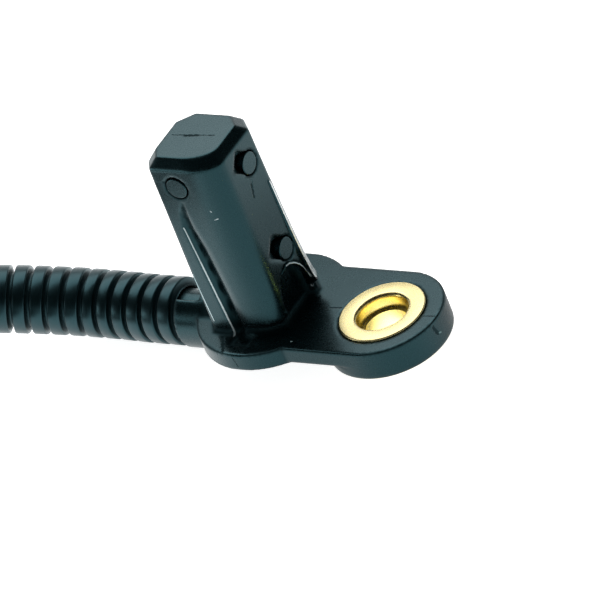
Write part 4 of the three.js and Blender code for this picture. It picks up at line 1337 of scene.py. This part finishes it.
@dataclass
class Housing:
    """The overmould: tower, seat, ear, pad and cable outlet."""

    # The tower's faces, slope, tip and rounding
    rear_x: float = -6.8
    side_x: float = 5.7
    front_y: float = -6.7
    back_y: float = 5.6
    draft: float = 0.009
    bevel: float = 1.2
    bevel_height: float = 1.5
    corner: float = 2.2
    voxel: float = 0.24
    # Seat, ear and pad
    seat_thickness: float = 2.9
    ear_thickness: float = 2.6
    pad_radius: float = 9.3
    pad_thickness: float = 4.9
    # Peg holes, and the notches that slant from the side ones
    peg_radius: float = 1.65
    peg_fit: float = 0.2
    peg_room: float = 2.2
    side_pegs: tuple[Point, ...] = ((5.7, 0.8, 33.4), (5.7, 0.8, 17.9))
    front_peg: Point = (-2.1, -6.7, 34.2)
    notch_reach: float = 3.7
    notch_depth: float = 1.0
    notch_tilt: float = -40.0
    arch_depth: float = 1.1
    # Cable outlet
    cuff_radius: float = 5.12
    spigot_radius: float = 3.4
    spigot_bore: float = 2.7
    spigot_end: float = -24.5
    cuff_end: float = -15.0
    cuff_bore: float = 4.1
    cuff_root: float = 1.5 - SEAT_RADIUS
    bulge_radius: float = 5.0
    bulge_straight: float = 3.0
    # The bush's place, and how far cutters reach past what they cut
    barrel_hole: float = 5.3
    rim_hole: float = 6.56
    rim_room: float = 0.3
    past: float = 2.0

    def outline(self, inset: float) -> Outline:
        """The tower's outline at one inset.

        Args:
            inset: Distance inwards from the shoulder's outline.

        Returns:
            The outline's points.
        """
        left, right = self.rear_x + inset, self.side_x - inset
        front, back = self.front_y + inset, self.back_y - inset
        points = [(left, front + 1.8), (left + 1.2, front)]
        for step in range(17):
            turn = step / 16 * math.pi / 2
            points.append((right - 5.2 + 5.2 * math.sin(turn), front + 3.0 - 3.0 * math.cos(turn)))
        points += [(right, back - self.corner), (right - self.corner, back), (left + self.corner, back),
                   (left, back - self.corner)]
        return points

    def inset(self, height: float) -> float:
        """The tower's inset at a height above the seat.

        Args:
            height: The height.

        Returns:
            Distance inwards from the shoulder's outline.
        """
        shoulder = TOWER_HEIGHT - self.bevel_height
        slope = -self.draft * (shoulder - min(height, shoulder))
        return slope + max(0.0, height - shoulder) / self.bevel_height * self.bevel

    def tower(self) -> bpy.types.Object:
        """The tower's blank.

        Returns:
            The closed solid.
        """
        heights = (-1.4, TOWER_HEIGHT - self.bevel_height, TOWER_HEIGHT)
        return Shape.upright("tower", [(SEAT_Z + h, self.outline(self.inset(h))) for h in heights])

    def groove(self) -> bpy.types.Object:
        """The cutter for the front slot: a shelf on its left, a steep drop, and a slow rise on its right.

        Returns:
            The cutter.
        """
        # Height over the seat, left edge, end of the shelf, right edge of the floor, depth
        rows = (
            (-0.4, -2.53, -1.98, -1.48, 1.7),
            (2.0, -2.69, -2.14, -1.64, 1.7),
            (5.9, -2.95, -2.4, -1.9, 1.7),
            (11.5, -3.32, -2.77, -2.27, 1.6),
            (15.3, -3.57, -3.02, -2.52, 1.5),
            (18.9, -3.81, -3.31, -2.96, 1.2),
            (21.5, -3.35, -3.0, -2.75, 0.8),
            (24.0, -2.28, -2.13, -1.98, 0.15),
        )
        levels: list[list[Point]] = []
        for height, left, shelf, right, depth in rows:
            front = self.front_y + self.inset(height)
            profile = [
                (left - 0.02, front - 0.05), (left, front + 0.04),
                (left + 0.06, front + min(0.2, depth * 0.3)), (shelf - 0.12, front + depth * 0.42),
                (shelf, front + depth * 0.52), (shelf + 0.12, front + depth),
                (right, front + depth), (right + 0.06, front + depth * 0.64),
                (right + 0.26 * depth, front + depth * 0.38), (right + 0.56 * depth, front + depth * 0.2),
                (right + 0.9 * depth, front + depth * 0.08), (right + 1.3 * depth, front + 0.01),
                (right + 1.5 * depth, front - 0.05), (right + 1.5 * depth, front - 2.5),
                (left - 0.02, front - 2.5),
            ]
            levels.append([(x, y, SEAT_Z + height) for x, y in profile])
        return Shape.loft("groove", levels)

    def notch(self, peg: Point) -> bpy.types.Object:
        """The cutter for the slanting notch beside one side peg.

        Args:
            peg: The peg's middle on the side face.

        Returns:
            The cutter.
        """
        half = self.peg_radius + self.peg_fit - 0.15
        tilt = math.radians(self.notch_tilt)
        levels: list[list[Point]] = []
        for depth, reach, side in ((2.0, self.notch_reach + 2.6, half + 0.9), (0.0, self.notch_reach, half - 0.1),
                                   (-self.notch_depth, self.notch_reach - 1.7, half - 0.55)):
            corners: list[Point] = []
            for along, across in ((0, -side), (-reach, -side), (-reach, side), (0, side)):
                y = along * math.cos(tilt) - across * math.sin(tilt)
                z = along * math.sin(tilt) + across * math.cos(tilt)
                corners.append((peg[0] + depth, peg[1] + y, peg[2] + z))
            levels.append(corners)
        return Shape.loft("notch", levels)

    def arch(self) -> bpy.types.Object:
        """The cutter for the arched recess at the foot of the side face.

        Returns:
            The cutter.
        """
        return Shape.loft("arch", [[(x, y, z) for y, z in ARCH_RIM]
                                   for x in (self.side_x - self.arch_depth, self.side_x + 2)])

    def fin(self) -> bpy.types.Object:
        """The fin that the mould's parting line left, with a slanting back.

        Returns:
            The closed solid.
        """
        y = self.back_y - self.corner - 0.45
        # Height over the seat, how proud the fin stands, length of its slanting back
        rows = (
            (1.9, 0.3, 0.8), (2.6, 1.2, 1.2), (3.1, 1.3, 1.4), (4.0, 1.0, 1.5), (6.6, 0.66, 1.5),
            (9.9, 0.45, 1.45), (15.1, 0.32, 1.4), (20.3, 0.26, 1.3), (20.9, 0.02, 0.5),
        )
        levels: list[tuple[float, Outline]] = []
        for height, proud, back in rows:
            x = self.side_x - self.inset(height)
            ring = [(x - 0.8, y - 0.3), (x + 0.02, y - 0.24), (x + proud * 0.8, y - 0.1), (x + proud, y + 0.05),
                    (x + proud - 0.588 * back, y + 0.05 + 0.809 * back),
                    (x + proud - 0.588 * back - 0.8, y + 0.05 + 0.809 * back - 0.4)]
            levels.append((SEAT_Z + height, ring))
        return Shape.upright("fin", levels)

    def bead(self) -> bpy.types.Object:
        """The raised rim round the back of the arched recess.

        Returns:
            The closed solid.
        """
        path = ARCH_RIM[3:13]
        levels: list[list[Point]] = []
        for number, (y, z) in enumerate(path):
            before, after = path[max(0, number - 1)], path[min(len(path) - 1, number + 1)]
            along = Vector((after[0] - before[0], after[1] - before[1])).normalized()
            radius = 0.3 if 0 < number < len(path) - 1 else 0.06
            x = self.side_x - self.inset(z - SEAT_Z) - 0.02
            levels.append([(x + radius * math.sin(turn), y - along.y * radius * math.cos(turn),
                            z + along.x * radius * math.cos(turn))
                           for turn in (math.pi * 2 * part / 14 for part in range(14))])
        made = Shape.loft("bead", levels)
        for face in made.data.polygons:
            face.use_smooth = len(face.vertices) == 4
        return made

    def undercut(self) -> bpy.types.Object:
        """The cutter that lets the front's foot lean inwards.

        Returns:
            The cutter.
        """
        room = Shape.block("undercut_room", (-1.3, self.front_y - 2, SEAT_Z),
                           (self.side_x + 2, -2.5, SEAT_Z + 1.8))
        core = Shape.upright("undercut_core", [(SEAT_Z - 1.0, self.outline(1.7)),
                                               (SEAT_Z + 1.9, self.outline(self.inset(1.9) - 0.02))])
        return Shape.worked("undercut", room, [(Cut.CUT, core)])

    def build(self) -> bpy.types.Object:
        """Make the overmould.

        Returns:
            The finished piece.
        """
        low, bottom = SEAT_Z - self.seat_thickness, SEAT_Z - self.pad_thickness
        reach, past, root = self.pad_radius, self.past, self.cuff_root
        outlet, upright = along_x(0, OUTLET_Z), along_z(HOLE_X, 0)
        seat = bar("seat", SEAT_RADIUS, low, SEAT_Z, along_z(0, 0), 160)
        plate = Shape.block("plate", (0, -reach, SEAT_Z - self.ear_thickness), (HOLE_X, reach, SEAT_Z))
        pad = Shape.lathe("pad", [(0, bottom), (reach - 0.5, bottom), (reach, bottom + 0.5), (reach, SEAT_Z),
                                  (0, SEAT_Z)], upright, 160)
        radius, straight = self.bulge_radius, self.bulge_straight
        turns = [part / 12 * math.pi / 2 for part in range(1, 13)]
        round_end = [(radius * math.cos(turn), straight + radius * math.sin(turn)) for turn in turns]
        bulge = Shape.lathe("bulge", [(0, root), (radius, root), (radius, straight), *round_end], outlet)
        trough = bar("trough", self.cuff_bore, self.cuff_end - past, 0.5 - SEAT_RADIUS, outlet)
        open_top = Shape.block("open_top", (self.cuff_end - past, -2.4, OUTLET_Z + 1.5),
                               (0.5 - SEAT_RADIUS, 9, 12))
        cuff = Shape.worked("cuff_cut", bar("cuff", self.cuff_radius, self.cuff_end, root, outlet),
                            [(Cut.CUT, trough), (Cut.CUT, open_top)])
        spigot = bar("spigot", self.spigot_radius, self.spigot_end, root, outlet)
        bore = bar("bore", self.spigot_bore, self.spigot_end - past, -8, outlet, 64)
        barrel = bar("barrel", self.barrel_hole, bottom - past, SEAT_Z + past, upright, 160)
        rim_bottom = SEAT_Z + Bush.proud - Bush.flange_thickness - self.rim_room
        rim = bar("rim", self.rim_hole, rim_bottom, SEAT_Z + past, upright, 160)
        joined = (plate, pad, self.tower(), bulge, cuff, spigot)
        cutters = [self.groove(), self.undercut(), self.arch(), bore, barrel, rim]
        cutters += [self.notch(peg) for peg in self.side_pegs]
        hole = self.peg_radius + self.peg_fit
        cutters += [bar("peg_hole", hole, x - self.peg_room, x + past, along_x(y, z), 64)
                    for x, y, z in self.side_pegs]
        x, y, z = self.front_peg
        cutters.append(bar("peg_hole", hole, y - past, y + self.peg_room, along_y(x, z), 64))
        sharp = Shape.worked("sharp", seat, [*((Cut.JOIN, solid) for solid in joined),
                                             *((Cut.CUT, cutter) for cutter in cutters)])
        body = Shape.added(Shape.moulded("overmould", sharp, self.voxel), self.fin(), self.bead())
        return Dressing.finish(body, Slot.OVERMOULD, "sensor_body")


@dataclass
class Bush:
    """The flanged brass bush."""

    bore: float = 3.2
    # The wider mouth above the bore, and the rounding from the flange into it
    mouth: float = 3.8
    mouth_depth: float = 2.3
    lip: float = 0.65
    barrel: float = 5.0
    flange: float = 6.5
    flange_thickness: float = 0.9
    proud: float = 0.25
    height: float = 4.9
    chamfer: float = 0.2
    sharp_angle: float = 40.0

    def build(self) -> bpy.types.Object:
        """Make the bush.

        Returns:
            The finished piece.
        """
        top, bottom = SEAT_Z + self.proud, SEAT_Z - self.height
        chamfer = self.chamfer
        profile = [(self.bore, bottom + chamfer), (self.bore + chamfer, bottom), (self.barrel - chamfer, bottom),
                   (self.barrel, bottom + chamfer), (self.barrel, top - self.flange_thickness),
                   (self.flange, top - self.flange_thickness)]
        for step in range(7):
            turn = step / 6 * math.pi / 2
            profile.append((self.flange - chamfer + chamfer * math.cos(turn),
                            top - chamfer + chamfer * math.sin(turn)))
        for step in range(13):
            turn = step / 12 * math.pi / 2
            profile.append((self.mouth + self.lip - self.lip * math.sin(turn),
                            top - self.lip + self.lip * math.cos(turn)))
        ledge = top - self.mouth_depth
        profile += [(self.mouth, ledge + 0.1), (self.mouth - 0.1, ledge), (self.bore + 0.12, ledge - 0.03),
                    (self.bore, ledge - 0.15)]
        made = Shape.lathe("bush", profile, along_z(HOLE_X, 0), 160, ring=True)
        for face in made.data.polygons:
            face.use_smooth = True
        bend = made.modifiers.new("edges", "EDGE_SPLIT")
        bend.split_angle = math.radians(self.sharp_angle)
        piece = Shape.baked("brass_bush", made)
        bpy.data.objects.remove(made, do_unlink=True)
        Shape.mark_edges(piece)
        return Dressing.finish(piece, Slot.BRASS, "mounting_bush")


@dataclass
class Carrier:
    """The inner carrier with its three locating pegs."""

    radius: float = 1.66
    proud: float = 0.03
    depth: float = 0.7
    rim: float = 0.13

    def peg(self, face: float, outward: float, turn: Turn) -> bpy.types.Object:
        """Make the end of one peg.

        Args:
            face: Where the tower's face stands on the peg's axis.
            outward: Which way the face looks along the axis, 1 or -1.
            turn: Turns lathe points into place.

        Returns:
            The peg's end.
        """
        profile = [(0, face - outward * self.depth), (self.radius, face - outward * self.depth)]
        for step in range(5):
            bend = step / 4 * math.pi / 2
            profile.append((self.radius - self.rim * (1 - math.cos(bend)),
                            face + outward * (self.proud - self.rim * (1 - math.sin(bend)))))
        profile.append((0, face + outward * self.proud))
        return Shape.lathe("peg", profile, turn, 72)

    def build(self, housing: Housing) -> None:
        """Make the carrier.

        Args:
            housing: The overmould whose faces the pegs reach.
        """
        blank = Shape.copied("carrier", "inner_carrier")
        pegs = []
        for x, y, z in housing.side_pegs:
            face = x - housing.inset(z - SEAT_Z)
            pegs.append(self.peg(face, 1.0, along_x(y, z)))
        x, y, z = housing.front_peg
        pegs.append(self.peg(y + housing.inset(z - SEAT_Z), -1.0, along_y(x, z)))
        piece = Shape.added(blank, *pegs)
        Dressing.finish(piece, Slot.CARRIER, "inner_carrier")


@dataclass
class Softened:
    """Pieces that follow the frame's nodes, with the rounded edges of moulded parts."""

    pieces: tuple[tuple[str, str, Slot, float], ...] = (
        ("plug_shell", "plug_housing", Slot.PLUG, 0.28),
        ("plug_cover", "plug_rear_cover", Slot.PLUG, 0.22),
        ("plug_lock", "plug_terminal_lock", Slot.LOCK, 0.15),
        ("plug_seal", "plug_front_seal", Slot.SEAL, 0.12),
        ("tie_near", "coil_tie_1", Slot.TIE, 0.22),
        ("tie_far", "coil_tie_2", Slot.TIE, 0.22),
    )
    angle: float = 28.0
    segments: int = 3

    def build(self) -> list[bpy.types.Object]:
        """Make every piece.

        Returns:
            The pieces, in the order of the table.
        """
        made = []
        for name, node_name, slot, width in self.pieces:
            blank = Shape.copied(f"{name}_blank", node_name)
            work = bmesh.new()
            work.from_mesh(blank.data)
            bmesh.ops.remove_doubles(work, verts=work.verts, dist=1e-6)
            bmesh.ops.dissolve_limit(work, angle_limit=math.radians(1), verts=work.verts, edges=work.edges)
            work.to_mesh(blank.data)
            work.free()
            for face in blank.data.polygons:
                face.use_smooth = False
            bevel = blank.modifiers.new("round", "BEVEL")
            bevel.width = width * MM
            bevel.segments = self.segments
            bevel.limit_method = "ANGLE"
            bevel.angle_limit = math.radians(self.angle)
            piece = Shape.baked(name, blank)
            bpy.data.objects.remove(blank, do_unlink=True)
            Shape.mark_edges(piece, 0, 1.2)
            Dressing.finish(piece, slot, node_name)
            made.append(piece)
        return made


@dataclass
class FrameParts:
    """The frame's own nodes that stay, with their finishes."""

    slots: dict[str, Slot] = field(default_factory=lambda: {
        "sensor_chip": Slot.CERAMIC, "bias_magnet": Slot.MAGNET,
        "filter_capacitor": Slot.CERAMIC, "lead_strip_left": Slot.TINNED, "lead_strip_right": Slot.TINNED,
        "crimp_left": Slot.TINNED, "crimp_right": Slot.TINNED, "core_left": Slot.CORE,
        "core_right": Slot.CORE, "cable_jacket": Slot.JACKET, "plug_pin_left": Slot.TINNED,
        "plug_pin_right": Slot.TINNED,
        "wire_seal_left": Slot.SEAL, "wire_seal_right": Slot.SEAL,
    })

    def build(self) -> None:
        """Give each node its finish."""
        for name, slot in self.slots.items():
            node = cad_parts[name]
            material = Dressing.of(slot)
            if node.material_slots:
                for entry in node.material_slots:
                    entry.material = material
            else:
                node.data.materials.append(material)
            log.info("%s: dressed as %s", name, slot.value)


def main() -> None:
    """Build the scene in order."""
    logging.basicConfig(level=logging.INFO, format="%(message)s")
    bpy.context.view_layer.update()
    Studio().build()
    far_end = Softened().build()
    Conduit().build(far_end)
    housing = Housing()
    housing.build()
    Carrier().build(housing)
    Bush().build()
    FrameParts().build()


if __name__ == "__main__":
    main()
